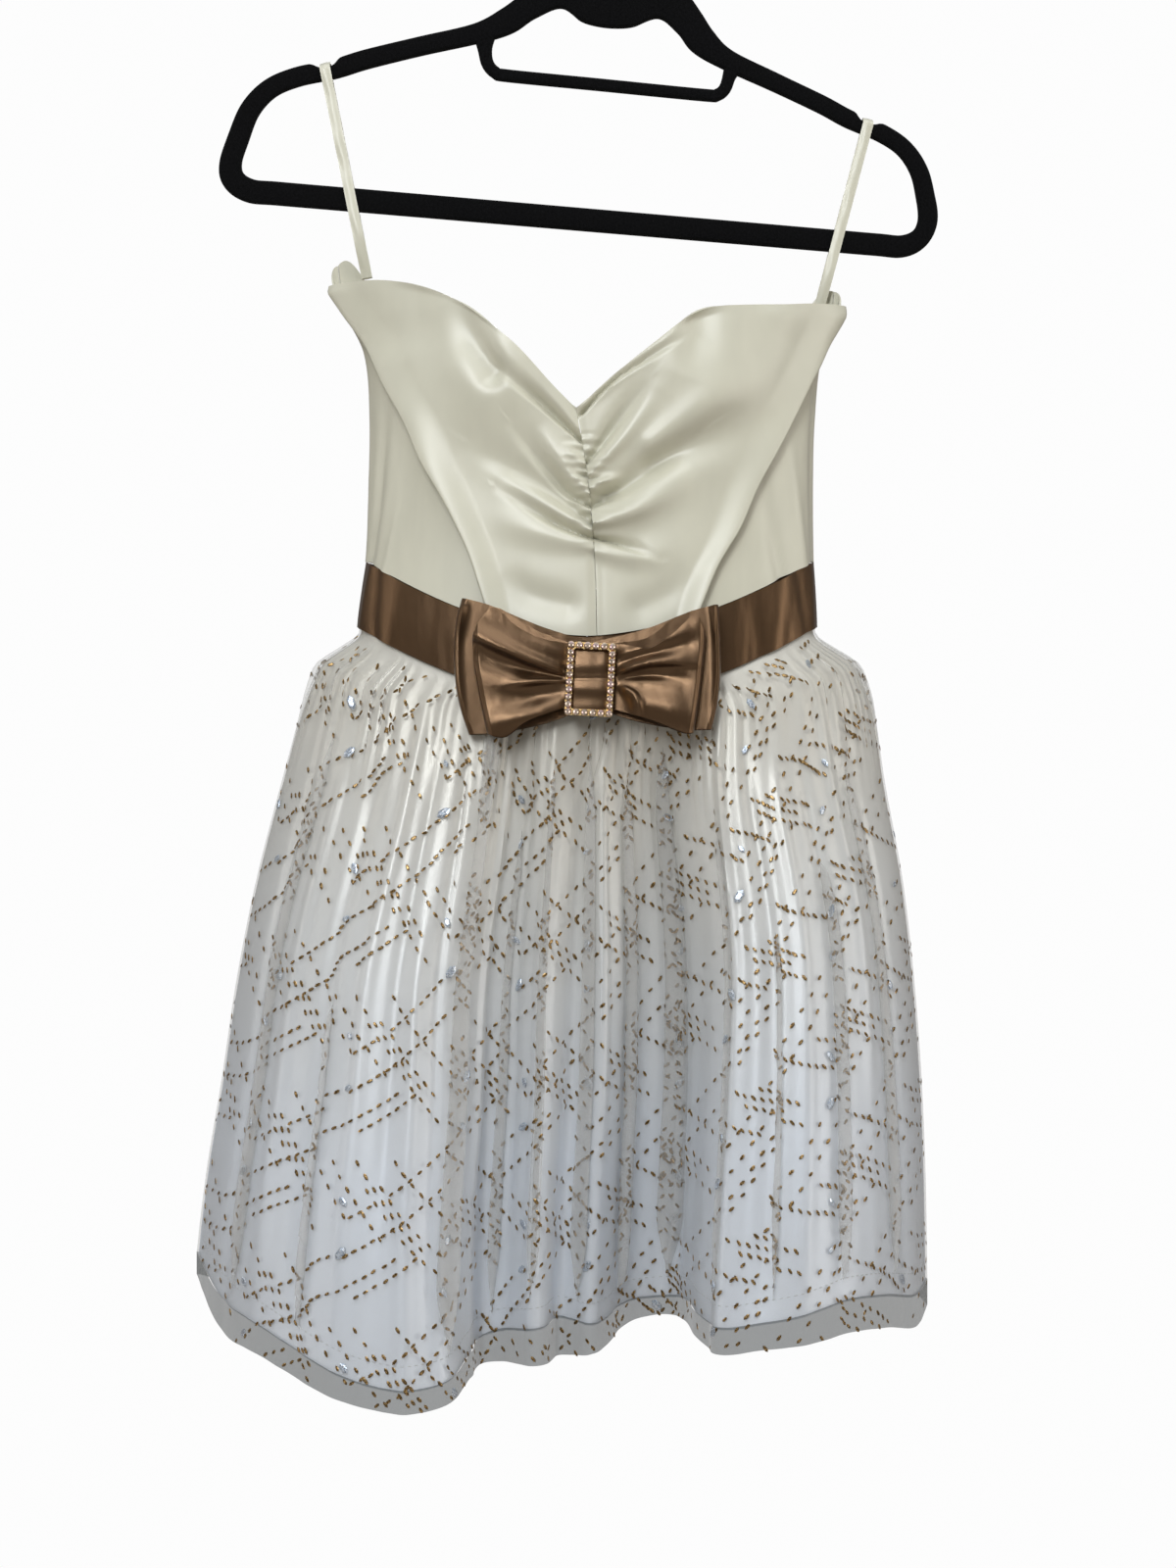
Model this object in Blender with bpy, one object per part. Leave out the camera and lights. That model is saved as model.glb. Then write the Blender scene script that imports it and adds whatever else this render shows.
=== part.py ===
"""Strapless fit and flare dress with a gathered net overskirt, on its flat hanger.

Metres, +Z up, the front faces -Y and +X is the viewer's right.  The origin is where the
hanger's hook rests on a rail.  Tables are in millimetres and turned into metres where read.
"""
import math

import bmesh
import bpy
from mathutils import Matrix, Vector

MM = 0.001
SEAM_GAP = 0.3 * MM

# Flat flocked hanger, measured in its own frame: across from its middle, up from its bar.
HANGER_TILT = math.radians(4.9)
HOOK_TO_BAR = 224.0 * MM
HANGER_THICK = 5.6 * MM
HANGER_EDGE = 1.3 * MM
LEFT_NOTCH = -163.5 * MM
RIGHT_NOTCH = 170.5 * MM
NOTCH_HALF_WIDTH = 9.0 * MM
NOTCH_DEPTH = 3.6 * MM
# how far the ribbon rides over the bottom of its notch
SEAT_RISE = 1.2 * MM
NOTCH_REACH = 16.0 * MM
ARM_ABOVE_BAR = 40.0 * MM
CORNER_FROM = 190.0 * MM
FINE_STEP = 4.0 * MM
CORNER_STEP = 9.0 * MM
COARSE_STEP = 15.0 * MM
# across, up, width of the arm: from the neck round the right end to the bar's middle
HANGER_HALF = (
    (0, 138, 44), (18, 140, 36), (36, 135, 23), (50, 124, 18), (61, 113.5, 17), (78, 104, 12.5),
    (110, 93, 11.5), (141, 82, 11.5), (159, 74.5, 11.5), (181, 67.5, 11.5), (196.5, 59, 11.5),
    (207, 46, 12), (212.5, 30, 12.5), (216.5, 13, 13), (214.5, 2, 14), (205, -3.3, 14), (185, -3.3, 14),
    (140, -3.3, 14), (95, -3.3, 14), (48, -3.3, 14), (0, -3.3, 14),
)
# The moulding has warped: its left shoulder stands higher and reaches further than its right.
HANGER_WARP = 0.155
MIDDLE_SHIFT = 2.5 * MM
END_SHIFT = 5.4 * MM
ARM_REACH = 205.0 * MM
TIE_BAR_RADIUS = 3.4 * MM
# across, up: the small bar under the neck that holds ties and belts
TIE_BAR_ROUTE = (
    (-72, 104), (-70.5, 95), (-68, 86.5), (-63, 81.7), (-56, 80.7), (0, 80.7), (65, 80.7), (72, 81.7),
    (77, 86.5), (79.5, 94), (80.5, 101),
)
WIRE_RADIUS = 2.0 * MM
HOOK_RADIUS = 21.0 * MM
HOOK_END_ANGLE = math.radians(-35)
HOOK_ROOT_UP = 161.5 * MM

# Ribbon hanger loops, each over its notch and down to a foot on the bodice.
LOOP_WIDTH = 6.5 * MM
LOOP_THICK = 0.9 * MM
LOOP_SLACK = 0.6 * MM
# shares of the way up from the foot to the notch, where each strand is held flat to the hanger
LOOP_KNEE = 0.82
LOOP_SHARES = (0.66, 0.5, 0.34, 0.17)
# name, side, x, y and z of the front foot, y of the back foot
LOOPS = (
    ("loop_left", -1, -153.5, 1.2, -262, 4.8),
    ("loop_right", 1, 125.5, -0.8, -282, 1.8),
)

# Body of the dress: z, left and right outline, depth in front and behind.
BODY = (
    (-245, -177.0, 143.0, 44, 15), (-270, -174.0, 140.0, 46, 18), (-285, -167.0, 138.0, 47, 20),
    (-310, -155.0, 127.5, 48, 23), (-350, -151.0, 123.0, 48, 25), (-393, -151.0, 121.5, 49, 26),
    (-430, -152.5, 121.5, 50, 27), (-454, -155.5, 122.5, 51, 28), (-480, -159.0, 124.0, 52, 29),
    (-535, -162.0, 126.0, 53, 31),
)
CUP_RISE = 14.0 * MM
CUP_ACROSS = 66.0 * MM
CUP_WIDTH = 40.0 * MM
CUP_HEIGHT_Z = -322.0 * MM
CUP_TALL = 46.0 * MM
CLOTH = 1.5 * MM
CUP_LIFT = 1.7 * MM
FOLD_ROLL = 2.2 * MM
# shares of the way across a front panel between which its rolled edge rises
ROLL_FROM_TO = (0.86, 0.97)
# a side panel starts this far under the fold, and this far below its top corner
SIDE_TUCK = math.radians(5)
SIDE_BELOW_CORNER = 2.0 * MM

# Waist ribbon: its top edge dips to a point in front and a little behind.
BAND_SIDE_Z = -438.0 * MM
BAND_FRONT_DROP = 49.0 * MM
BAND_BACK_DROP = 14.0 * MM
BAND_POWER = 1.7
BAND_TALL = 40.0 * MM
BAND_LIFT = 0.6 * MM

# Front panels seen from the front: x and z of their edges.
SEAM_CENTRE = ((-11.7, -488), (-12.3, -458), (-14.0, -427), (-16.5, -397), (-20.5, -370), (-24, -351))
TOP_EDGE_LEFT = (
    (-24, -351), (-39, -336), (-57.5, -316), (-75, -301), (-92, -288), (-110, -278.5),
    (-131, -272), (-152, -269.5), (-174.3, -269.6),
)
TOP_EDGE_RIGHT = (
    (-24, -351), (-11, -340), (6, -325), (24, -311), (41, -298), (55.5, -291), (76, -288),
    (100, -285.7), (122, -283), (141.0, -281.5),
)
FOLD_EDGE_LEFT = (
    (-75, -472), (-85, -440), (-92, -422), (-103, -399), (-114.5, -378.5), (-126, -353),
    (-140, -329), (-153, -303), (-164.5, -286.5), (-174.3, -269.6),
)
FOLD_EDGE_RIGHT = (
    (48, -469), (60, -440), (74, -417), (85, -392), (99, -367), (115, -334), (123, -317),
    (131, -300), (141.0, -281.5),
)
# Drapes across a front panel: height at the centre seam and at the far side (0 waist, 1 top),
# how far the ridge stands out, its width, and how far across it has faded.
DRAPES_LEFT = (
    (0.30, 0.16, 1.8, 0.050, 0.9), (0.44, 0.40, 1.4, 0.045, 0.7), (0.58, 0.66, 1.5, 0.050, 0.8),
    (0.72, 0.93, 1.2, 0.055, 0.6),
)
DRAPES_RIGHT = (
    (0.28, 0.06, 1.6, 0.045, 0.9), (0.46, 0.50, 2.0, 0.055, 0.9), (0.60, 0.76, 1.8, 0.050, 0.8),
    (0.74, 0.96, 1.2, 0.050, 0.6),
)
SIDE_SEAM_ANGLE = math.radians(103)
SIDE_SEAM_TURN = math.radians(0.8)
ZIP_TURN = math.radians(0.12)
CORNER_ANGLE = math.radians(84)
BACK_TOP_Z = -356.0 * MM
BACK_RISE = 92.0 * MM
BACK_POWER = 2.0
LEFT_PEAK_RISE = 26.0 * MM
RIGHT_PEAK_RISE = 16.0 * MM
RIGHT_SIDE_LOWER = 11.0 * MM
PEAK_ANGLE = math.radians(114)
PEAK_WIDTH = math.radians(14)

# Skirt outline: z, left, right.
SKIRT = (
    (-430, -152.5, 121.5), (-478, -164.5, 128.0), (-490, -174.5, 141.0), (-502, -181.5, 148.0),
    (-526, -192.0, 158.0), (-575, -206.5, 166.5), (-635, -222.0, 177.5), (-696, -234.0, 184.5),
    (-756, -243.0, 189.0), (-817, -253.0, 191.5), (-877, -259.5, 192.5), (-940, -262.0, 193.0),
)
SKIRT_GROWTH = 0.82
HEM_LEFT = -259.5 * MM
HEM_RIGHT = 192.5 * MM
# Hem crests and troughs, once round from the left side seam by the front: x, y, z of the net's
# hem, and how much shorter the satin is.
HEM_FRONT = (
    (-259.5, 0, -877, 12), (-236, -44, -902, 18), (-208, -82, -907, 16), (-170, -113, -920, 14),
    (-138, -125, -928, 12), (-112, -124, -930, 12), (-94, -112, -927, 12), (-85, -86, -920, 13),
    (-80, -60, -918, 15), (-67, -62, -916, 18), (-51, -80, -914, 20), (-41, -76, -914, 21),
    (-35, -56, -914, 22), (-26, -58, -913, 20), (-16, -66, -911, 17), (-6, -56, -908, 15),
    (8, -30, -900, 12), (28, -22, -897, 10), (41, -42, -896, 12), (47, -75, -899, 13),
    (60, -106, -901, 14), (79, -116, -897, 14), (98, -115, -895, 15), (117, -108, -893, 17),
    (137, -94, -891, 18), (159, -70, -894, 18), (180, -38, -901, 18), (192.5, 0, -896, 14),
)
HEM_BACK = (
    (192.5, 0, -896, 14), (184, 34, -893, 14), (158, 66, -892, 15), (124, 76, -894, 16),
    (94, 62, -893, 16), (76, 36, -891, 15), (50, 44, -893, 15), (20, 76, -897, 16),
    (-18, 82, -899, 16), (-48, 60, -897, 15), (-64, 34, -895, 15), (-90, 44, -897, 15),
    (-122, 76, -901, 16), (-164, 86, -903, 16), (-208, 64, -899, 15), (-244, 32, -888, 13),
    (-259.5, 0, -877, 12),
)
FRONT_PLEATS = 44
BACK_PLEATS = 30
# Shares of the way from the waist ribbon to the hem.
SKIRT_RINGS = (0.0, 0.028, 0.08, 0.17, 0.30, 0.46, 0.64, 0.82, 1.0)
# the share by which the skirt has left the waist's curve for the photo's outline
FLARE_BY = 0.06
# how far the waist's gathers follow the hem's x, not its length, and the seam's share of them
WAIST_BY_X = 0.5
SIDE_CLEAR = 0.0016
SKIRT_LIFT = 1.8 * MM
LINING_CLOTH = 1.2 * MM
NET_LIFT = 0.7 * MM
NET_CLOTH = 1.2 * MM
GATHER_AT_SEAM = 0.5 * MM
GATHER_AT_WAIST = 3.2 * MM
SKIRT_DROP = 0.7 * MM
GATHER_AT_HEM = 1.6 * MM

# Flat bow, measured from its own middle.
BOW_X = -14.5 * MM
BOW_Z = -515.0 * MM
BOW_PITCH = math.radians(4)
RIBBON = 1.1 * MM
BAND_FACE_Y = -56.0 * MM
# distance out, height above and below the middle
BACK_BOW_LEFT = ((1, 20, 20), (30, 33, 26), (60, 45, 30), (80, 50, 31))
BACK_BOW_RIGHT = ((1, 20, 20), (30, 31, 25), (60, 42, 28), (77, 46, 28))
FRONT_BOW_LEFT = ((13, 21, 15), (38, 30.5, 24), (57, 43, 33), (66, 34, 33), (70, 25, 31))
FRONT_BOW_RIGHT = ((13, 22, 17), (30, 30, 22), (47, 36, 27), (62, 40, 31), (67, 28, 31))
# height from the middle, how much further out the loop's outer bend is there
BACK_LEAN_LEFT = ((-31, -7.5), (-14, -2.0), (2, 0.8), (22, 1.4), (38, 0.0), (50, -3.0))
BACK_LEAN_RIGHT = ((-28, -6.5), (-12, -3.0), (6, -1.2), (28, -1.6), (46, -2.4))
FRONT_LEAN_LEFT = ((-33, -9.0), (-11, -4.5), (8, -1.0), (21, 0.0), (43, 0.0))
FRONT_LEAN_RIGHT = ((-31, -7.8), (-14, -5.0), (2, -3.0), (24, -0.8), (40, -0.8))
# share of the way out from which a loop's bend leans
LEAN_FROM = 0.45
BOW_REAR = 1.4 * MM
BOW_LOOP_DEPTH = 6.0 * MM
FRONT_BOW_GAP = 3.4 * MM
BACK_BOW_TIP = 2.6 * MM
FRONT_BOW_TIP = 2.8 * MM
KNOT_SIZE = (23.0 * MM, 5.0 * MM, 38.0 * MM)
KNOT_GAP = 2.2 * MM
KNOT_ASIDE = -1.2 * MM
BUCKLE_WIDE = 28.0 * MM
BUCKLE_TALL = 43.0 * MM
BUCKLE_BAR = 3.8 * MM
BUCKLE_THICK = 3.0 * MM
BUCKLE_LEAN = math.radians(-3)
BUCKLE_CORNERS = (2.2 * MM, 0.9 * MM)

# Hidden centre-back zip: slider and its hinged pull.
ZIP_Z = -365.0 * MM
SLIDER_WIDE = 5.4 * MM
SLIDER_TALL = 9.0 * MM
SLIDER_THICK = 2.4 * MM
BRIDGE_WIDE = 1.4 * MM
PIN_RADIUS = 0.7 * MM
PIN_OUT = 3.4 * MM
TAB_WIDE = 5.6 * MM
TAB_LONG = 24.0 * MM
TAB_THICK = 1.2 * MM

COLOURS = {
    "black flock": ((0.018, 0.018, 0.020), 0.95, 0.0),
    "hook steel": ((0.62, 0.62, 0.63), 0.28, 1.0),
    "ivory satin": ((0.86, 0.80, 0.71), 0.34, 0.0),
    "bronze satin": ((0.33, 0.20, 0.135), 0.30, 0.0),
    "white satin": ((0.84, 0.85, 0.88), 0.36, 0.0),
    "white net": ((0.80, 0.80, 0.80), 0.70, 0.0),
    "gold metal": ((0.85, 0.64, 0.33), 0.25, 1.0),
    "zip metal": ((0.78, 0.75, 0.70), 0.35, 1.0),
}


def millimetres(rows):
    """A table in millimetres as rows in metres."""
    return [tuple(value * MM for value in row) for row in rows]


def blend(a, b, share):
    return a + (b - a) * share


def smooth_step(low, high, value):
    share = min(1.0, max(0.0, (value - low) / (high - low)))
    return share * share * (3 - 2 * share)


def read_table(rows, key):
    """Columns of a table at a value of its first column, by a smooth curve through the rows."""
    rows = sorted(rows)
    if key <= rows[0][0]:
        return rows[0][1:]
    if key >= rows[-1][0]:
        return rows[-1][1:]
    place = next(i for i in range(len(rows) - 1) if rows[i + 1][0] >= key)
    before, after = rows[place], rows[place + 1]
    span = after[0] - before[0]
    share = (key - before[0]) / span
    out = []
    for column in range(1, len(before)):
        slopes = []
        for i in (place, place + 1):
            low, high = rows[max(i - 1, 0)], rows[min(i + 1, len(rows) - 1)]
            slopes.append((high[column] - low[column]) / (high[0] - low[0]) * span)
        a, b = before[column], after[column]
        out.append(
            a + slopes[0] * share
            + (3 * (b - a) - 2 * slopes[0] - slopes[1]) * share ** 2
            + (2 * (a - b) + slopes[0] + slopes[1]) * share ** 3
        )
    return out


def curve_through(points, closed=False, steps=12):
    """A dense smooth line through points of any number of coordinates."""
    count = len(points)
    spans = count if closed else count - 1
    dense = []
    for i in range(spans):
        p1, p2 = points[i], points[(i + 1) % count]
        p0 = points[(i - 1) % count] if closed or i > 0 else p1
        p3 = points[(i + 2) % count] if closed or i + 2 < count else p2
        for step in range(steps):
            t = step / steps
            dense.append(tuple(
                0.5 * (2 * b + (c - a) * t + (2 * a - 5 * b + 4 * c - d) * t * t
                       + (3 * b - a - 3 * c + d) * t ** 3)
                for a, b, c, d in zip(p0, p1, p2, p3)))
    if not closed:
        dense.append(tuple(points[-1]))
    return dense


class Line:
    """A smooth line read by its share of length, measured over its first coordinates."""

    def __init__(self, points, measured=2, closed=False):
        self.points = curve_through(points, closed)
        if closed:
            self.points.append(self.points[0])
        self.marks = [0.0]
        for a, b in zip(self.points, self.points[1:]):
            self.marks.append(self.marks[-1] + math.dist(a[:measured], b[:measured]))
        self.length = self.marks[-1]

    def at(self, share):
        target = min(1.0, max(0.0, share)) * self.length
        i = next((k for k in range(1, len(self.marks)) if self.marks[k] >= target),
                 len(self.marks) - 1)
        span = self.marks[i] - self.marks[i - 1]
        part = (target - self.marks[i - 1]) / span if span else 0.0
        return tuple(blend(a, b, part) for a, b in zip(self.points[i - 1], self.points[i]))


def material(name):
    found = bpy.data.materials.get(name)
    if found:
        return found
    colour, roughness, metallic = COLOURS[name]
    made = bpy.data.materials.new(name)
    made.use_nodes = True
    shader = made.node_tree.nodes["Principled BSDF"]
    shader.inputs["Base Color"].default_value = (*colour, 1.0)
    shader.inputs["Roughness"].default_value = roughness
    shader.inputs["Metallic"].default_value = metallic
    made.diffuse_color = (*colour, 1.0)
    return made


def add_object(name, mesh, finish, sharp=math.radians(40)):
    made = bpy.data.objects.new(name, mesh)
    bpy.context.scene.collection.objects.link(made)
    mesh.materials.append(material(finish))
    mesh.shade_smooth()
    mesh.set_sharp_from_angle(angle=sharp)
    return made


def closed_mesh(name, finish, points, faces):
    """One closed body from points and faces, its faces turned outwards."""
    mesh = bpy.data.meshes.new(name)
    mesh.from_pydata([tuple(p) for p in points], [], faces)
    shape = bmesh.new()
    shape.from_mesh(mesh)
    bmesh.ops.recalc_face_normals(shape, faces=shape.faces)
    shape.to_mesh(mesh)
    shape.free()
    return add_object(name, mesh, finish)


def wall(name, finish, outer, inner):
    """A cloth wall between an outer and an inner grid of the same rows and columns."""
    rows, columns = len(outer), len(outer[0])
    points = [p for row in outer for p in row] + [p for row in inner for p in row]
    back = rows * columns
    faces = []
    for i in range(rows - 1):
        for j in range(columns - 1):
            a, b = i * columns + j, i * columns + j + 1
            c, d = b + columns, a + columns
            faces.append((a, b, c, d))
            faces.append((back + d, back + c, back + b, back + a))
    rim = [j for j in range(columns)]
    rim += [i * columns + columns - 1 for i in range(1, rows)]
    rim += [(rows - 1) * columns + j for j in range(columns - 2, -1, -1)]
    rim += [i * columns for i in range(rows - 2, 0, -1)]
    for a, b in zip(rim, rim[1:] + rim[:1]):
        faces.append((a, b, back + b, back + a))
    return closed_mesh(name, finish, points, faces)


def swept_tube(name, finish, route, radius, sides=8):
    """A round bar along a route of points, with flat ends."""
    curve = bpy.data.curves.new(name, "CURVE")
    curve.dimensions = "3D"
    curve.bevel_depth = radius
    curve.bevel_resolution = max(0, sides // 4 - 1)
    curve.use_fill_caps = True
    curve.render_resolution_u = 0
    spline = curve.splines.new("POLY")
    spline.points.add(len(route) - 1)
    for point, place in zip(spline.points, route):
        point.co = (*place, 1.0)
    made = bpy.data.objects.new(name, curve)
    bpy.context.scene.collection.objects.link(made)
    curve.materials.append(material(finish))
    return made


def box(name, finish, size, place):
    shape = bmesh.new()
    bmesh.ops.create_cube(shape, size=1.0)
    bmesh.ops.scale(shape, vec=size, verts=shape.verts)
    bmesh.ops.translate(shape, vec=place, verts=shape.verts)
    mesh = bpy.data.meshes.new(name)
    shape.to_mesh(mesh)
    shape.free()
    return add_object(name, mesh, finish)


# ---------------------------------------------------------------- hanger

def on_hanger(across, depth, up):
    """World place of a point given in the hanger's own frame."""
    down = up * (1 - HANGER_WARP * across) - HOOK_TO_BAR
    if up > 0:
        across += MIDDLE_SHIFT * min(1.0, max(0.0, (HOOK_ROOT_UP - up) / HOOK_ROOT_UP))
    across -= END_SHIFT * (across / ARM_REACH) ** 2
    x = across * math.cos(HANGER_TILT) + down * math.sin(HANGER_TILT)
    z = -across * math.sin(HANGER_TILT) + down * math.cos(HANGER_TILT)
    return Vector((x, depth, z))


def hanger_stations():
    """Middle, outward direction and half width along the arm, all the way round."""
    half = millimetres(HANGER_HALF)
    ring = half[:-1] + [(-a, u, w) for a, u, w in reversed(half)][:-1]
    line = Line(ring, closed=True)
    stations = []
    walked = 0.0
    while walked < line.length - FINE_STEP:
        share = walked / line.length
        across, up, width = line.at(share)
        before, after = line.at(share - 0.002 if share > 0.002 else 0.998), line.at(share + 0.002)
        along = Vector((after[0] - before[0], after[1] - before[1])).normalized()
        stations.append([across, up, width / 2, Vector((-along.y, along.x))])
        fine = up > ARM_ABOVE_BAR and notch_distance(across) < NOTCH_REACH
        corner = abs(across) > CORNER_FROM
        walked += FINE_STEP if fine else CORNER_STEP if corner else COARSE_STEP
    return stations


def notch_distance(across):
    return min(abs(across - LEFT_NOTCH), abs(across - RIGHT_NOTCH))


def notch_cut(across, up):
    """How much of the arm's upper edge the loop's notch takes away."""
    if up < ARM_ABOVE_BAR:
        return 0.0
    return NOTCH_DEPTH * math.exp(-3 * (notch_distance(across) / NOTCH_HALF_WIDTH) ** 4)


def make_hanger_frame():
    """The arms and lower bar: one flat ring with rounded edges and two notches."""
    face = HANGER_THICK / 2
    # share of the half width kept, depth: round the section, outer side first
    section = (
        (1, -1.0, face - HANGER_EDGE), (1, 0.0, face), (-1, 0.0, face), (-1, -1.0, face - HANGER_EDGE),
        (-1, -1.0, HANGER_EDGE - face), (-1, 0.0, -face), (1, 0.0, -face), (1, -1.0, HANGER_EDGE - face),
    )
    points, faces = [], []
    stations = hanger_stations()
    for across, up, half, outward in stations:
        for side, full, depth in section:
            reach = half if full else half - HANGER_EDGE
            if side > 0:
                reach -= notch_cut(across, up)
            place = Vector((across, up)) + outward * (side * reach)
            points.append(on_hanger(place.x, depth, place.y))
    sides = len(section)
    for i in range(len(stations)):
        k = (i + 1) % len(stations)
        for j in range(sides):
            n = (j + 1) % sides
            faces.append((i * sides + j, i * sides + n, k * sides + n, k * sides + j))
    return closed_mesh("hanger_frame", "black flock", points, faces)


def join_tie_bar(frame):
    """The small bar is moulded in one with the arms."""
    route = curve_through(millimetres(TIE_BAR_ROUTE), steps=2)
    places = [on_hanger(across, 0, up) for across, up in route]
    bar = swept_tube("hanger_tie_bar", "black flock", places, TIE_BAR_RADIUS)
    bar.hide_render = True
    bar.display_type = "WIRE"
    join = frame.modifiers.new("tie bar", "BOOLEAN")
    join.operation = "UNION"
    join.object = mesh_of(bar)


def mesh_of(curve_object):
    """A mesh copy of a curve object, for a Boolean; the curve itself is taken out."""
    mesh = bpy.data.meshes.new_from_object(curve_object.evaluated_get(
        bpy.context.evaluated_depsgraph_get()))
    made = bpy.data.objects.new(curve_object.name + "_shape", mesh)
    bpy.context.scene.collection.objects.link(made)
    made.hide_render = True
    made.display_type = "WIRE"
    bpy.data.objects.remove(curve_object)
    return made


def make_hook():
    """Wire hook: a straight stem, an easy bend back and three quarters of a circle over the rail."""
    centre_up = HOOK_TO_BAR - HOOK_RADIUS
    wire_up = WIRE_RADIUS
    radius = HOOK_RADIUS + wire_up
    start = math.radians(205)
    route = [(0, HOOK_ROOT_UP), (0, HOOK_ROOT_UP + 5 * MM), (-1 * MM, HOOK_ROOT_UP + 10 * MM)]
    first = (radius * math.cos(start), centre_up + radius * math.sin(start))
    route.append(((first[0] - 6 * MM) / 2, (first[1] + HOOK_ROOT_UP + 10 * MM) / 2 - 1.5 * MM))
    steps = 20
    for i in range(steps + 1):
        angle = blend(start, HOOK_END_ANGLE, i / steps)
        route.append((radius * math.cos(angle), centre_up + radius * math.sin(angle)))
    swept_tube("hanger_hook", "hook steel", [on_hanger(a, 0, u) for a, u in route], WIRE_RADIUS, 8)


# ---------------------------------------------------------------- body and bodice

BODY_M = millimetres(BODY)


def body_at(z):
    return read_table(BODY_M, z)


def body_point(angle, z, out=0.0):
    """A point of the figure at an angle from the front (right positive), moved out."""
    left, right, front, behind = body_at(z)
    middle, half = (left + right) / 2, (right - left) / 2
    turn = math.cos(angle)
    x = middle + (half + out) * math.sin(angle)
    if turn < 0:
        return Vector((x, -(behind + out) * turn, z))
    off = (abs(x - middle) - CUP_ACROSS) / CUP_WIDTH
    rise = CUP_RISE * math.exp(-off * off) * math.exp(-((z - CUP_HEIGHT_Z) / CUP_TALL) ** 2)
    return Vector((x, -(front + rise + out) * turn, z))


def angle_at(x, z, out=CUP_LIFT):
    left, right = body_at(z)[:2]
    middle, half = (left + right) / 2, (right - left) / 2 + out
    share = (x - middle) / half
    limit = math.sin(CORNER_ANGLE)
    return math.asin(max(-limit, min(limit, share)))


def band_top(angle):
    """Height of the waist ribbon's top edge round the figure."""
    sideways = abs(math.sin(angle)) ** BAND_POWER
    drop = BAND_FRONT_DROP if math.cos(angle) > 0 else BAND_BACK_DROP
    return BAND_SIDE_Z - drop * (1 - sideways)


def outline(rows, out=CUP_LIFT):
    """An edge given by x and z as a line in angle and height; the ends are kept."""
    return Line([(angle_at(x, z, out), z) for x, z in millimetres(rows)])


def patch(bottom, top, start, end, across, up):
    """A point inside four edges, each a function of its share: first corner, last corner."""
    corners = (bottom(0), bottom(1), top(0), top(1))
    out = []
    for k in range(2):
        ruled = blend(start(up)[k], end(up)[k], across) + blend(bottom(across)[k], top(across)[k], up)
        flat = blend(blend(corners[0][k], corners[1][k], across),
                     blend(corners[2][k], corners[3][k], across), up)
        out.append(ruled - flat)
    return out


def along_band(first, last):
    """An edge that follows the waist ribbon between two angles, just above it."""
    def edge(share):
        angle = blend(first, last, share)
        return angle, band_top(angle) + SEAM_GAP
    return edge


def from_band(edge):
    """The same edge, let down at its foot to the waist ribbon."""
    angle, foot = edge(0)
    short = foot - band_top(angle) - SEAM_GAP

    def moved(share):
        angle, z = edge(share)
        return angle, z - short * (1 - share) ** 2
    return moved


def drape_height(drapes, across, up):
    """How far the draped folds of a front panel stand out at a point."""
    height = 0.0
    for seam_up, far_up, rise, width, reach in drapes:
        off = (up - blend(seam_up, far_up, across)) / width
        fade = (0.45 + 0.55 * smooth_step(0, 0.2, across)) * (1 - 0.8 * smooth_step(0.3, 1.0, across / reach))
        height += rise * MM * math.exp(-off * off) * fade
    return height


def make_cup(name, side, top_rows, fold_rows, drapes):
    """A draped front panel, rolled over along its outer edge."""
    shift = side * SEAM_GAP / 2
    seam = outline([(x + shift / MM, z) for x, z in SEAM_CENTRE])
    fold, top = outline(fold_rows), outline([(x + shift / MM, z) for x, z in top_rows])
    seam_edge, fold_edge = from_band(seam.at), from_band(fold.at)
    bottom = along_band(seam_edge(0)[0], fold_edge(0)[0])
    columns, rows = 13, 17
    outer, inner = [], []
    for i in range(rows):
        up = i / (rows - 1)
        outer_row, inner_row = [], []
        for j in range(columns):
            across = j / (columns - 1)
            angle, z = patch(bottom, top.at, seam_edge, fold_edge, across, up)
            roll = FOLD_ROLL * smooth_step(*ROLL_FROM_TO, across)
            relief = drape_height(drapes, across, up) + roll
            inner_row.append(body_point(angle, z, CUP_LIFT))
            outer_row.append(body_point(angle, z, CUP_LIFT + CLOTH + relief))
        outer.append(outer_row)
        inner.append(inner_row)
    wall(name, "ivory satin", outer, inner)


def back_top(angle):
    """Height of the back's top edge: low at the zip, drawn up where the loops are sewn in."""
    sideways = abs(math.sin(angle)) ** BACK_POWER
    peak = math.exp(-((abs(angle) - PEAK_ANGLE) / PEAK_WIDTH) ** 2)
    rise = LEFT_PEAK_RISE if angle < 0 else RIGHT_PEAK_RISE
    lower = RIGHT_SIDE_LOWER * smooth_step(-0.2, 0.4, math.sin(angle))
    return BACK_TOP_Z + (BACK_RISE - lower) * sideways + rise * peak


def make_side(name, side, fold_rows):
    """A plain side panel from under the rolled fold to the side seam."""
    fold = outline(fold_rows, 0.0)
    tuck = SIDE_TUCK * -side
    seam_angle = side * SIDE_SEAM_ANGLE

    def start(share):
        angle, z = fold.at(share)
        return angle + tuck, z

    def end(share):
        return seam_angle, blend(band_top(seam_angle) + SEAM_GAP, back_top(seam_angle), share)

    corner = start(1)

    def top(share):
        lift = smooth_step(0, 1, share)
        return blend(corner[0], seam_angle, share), blend(corner[1] - SIDE_BELOW_CORNER, back_top(seam_angle), lift)

    def start_trimmed(share):
        angle, z = start(share)
        return angle, z - SIDE_BELOW_CORNER * share

    bottom_edge = along_band(start(0)[0], seam_angle)
    build_panel(name, bottom_edge, top, from_band(start_trimmed), end, 9, 11)


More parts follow.
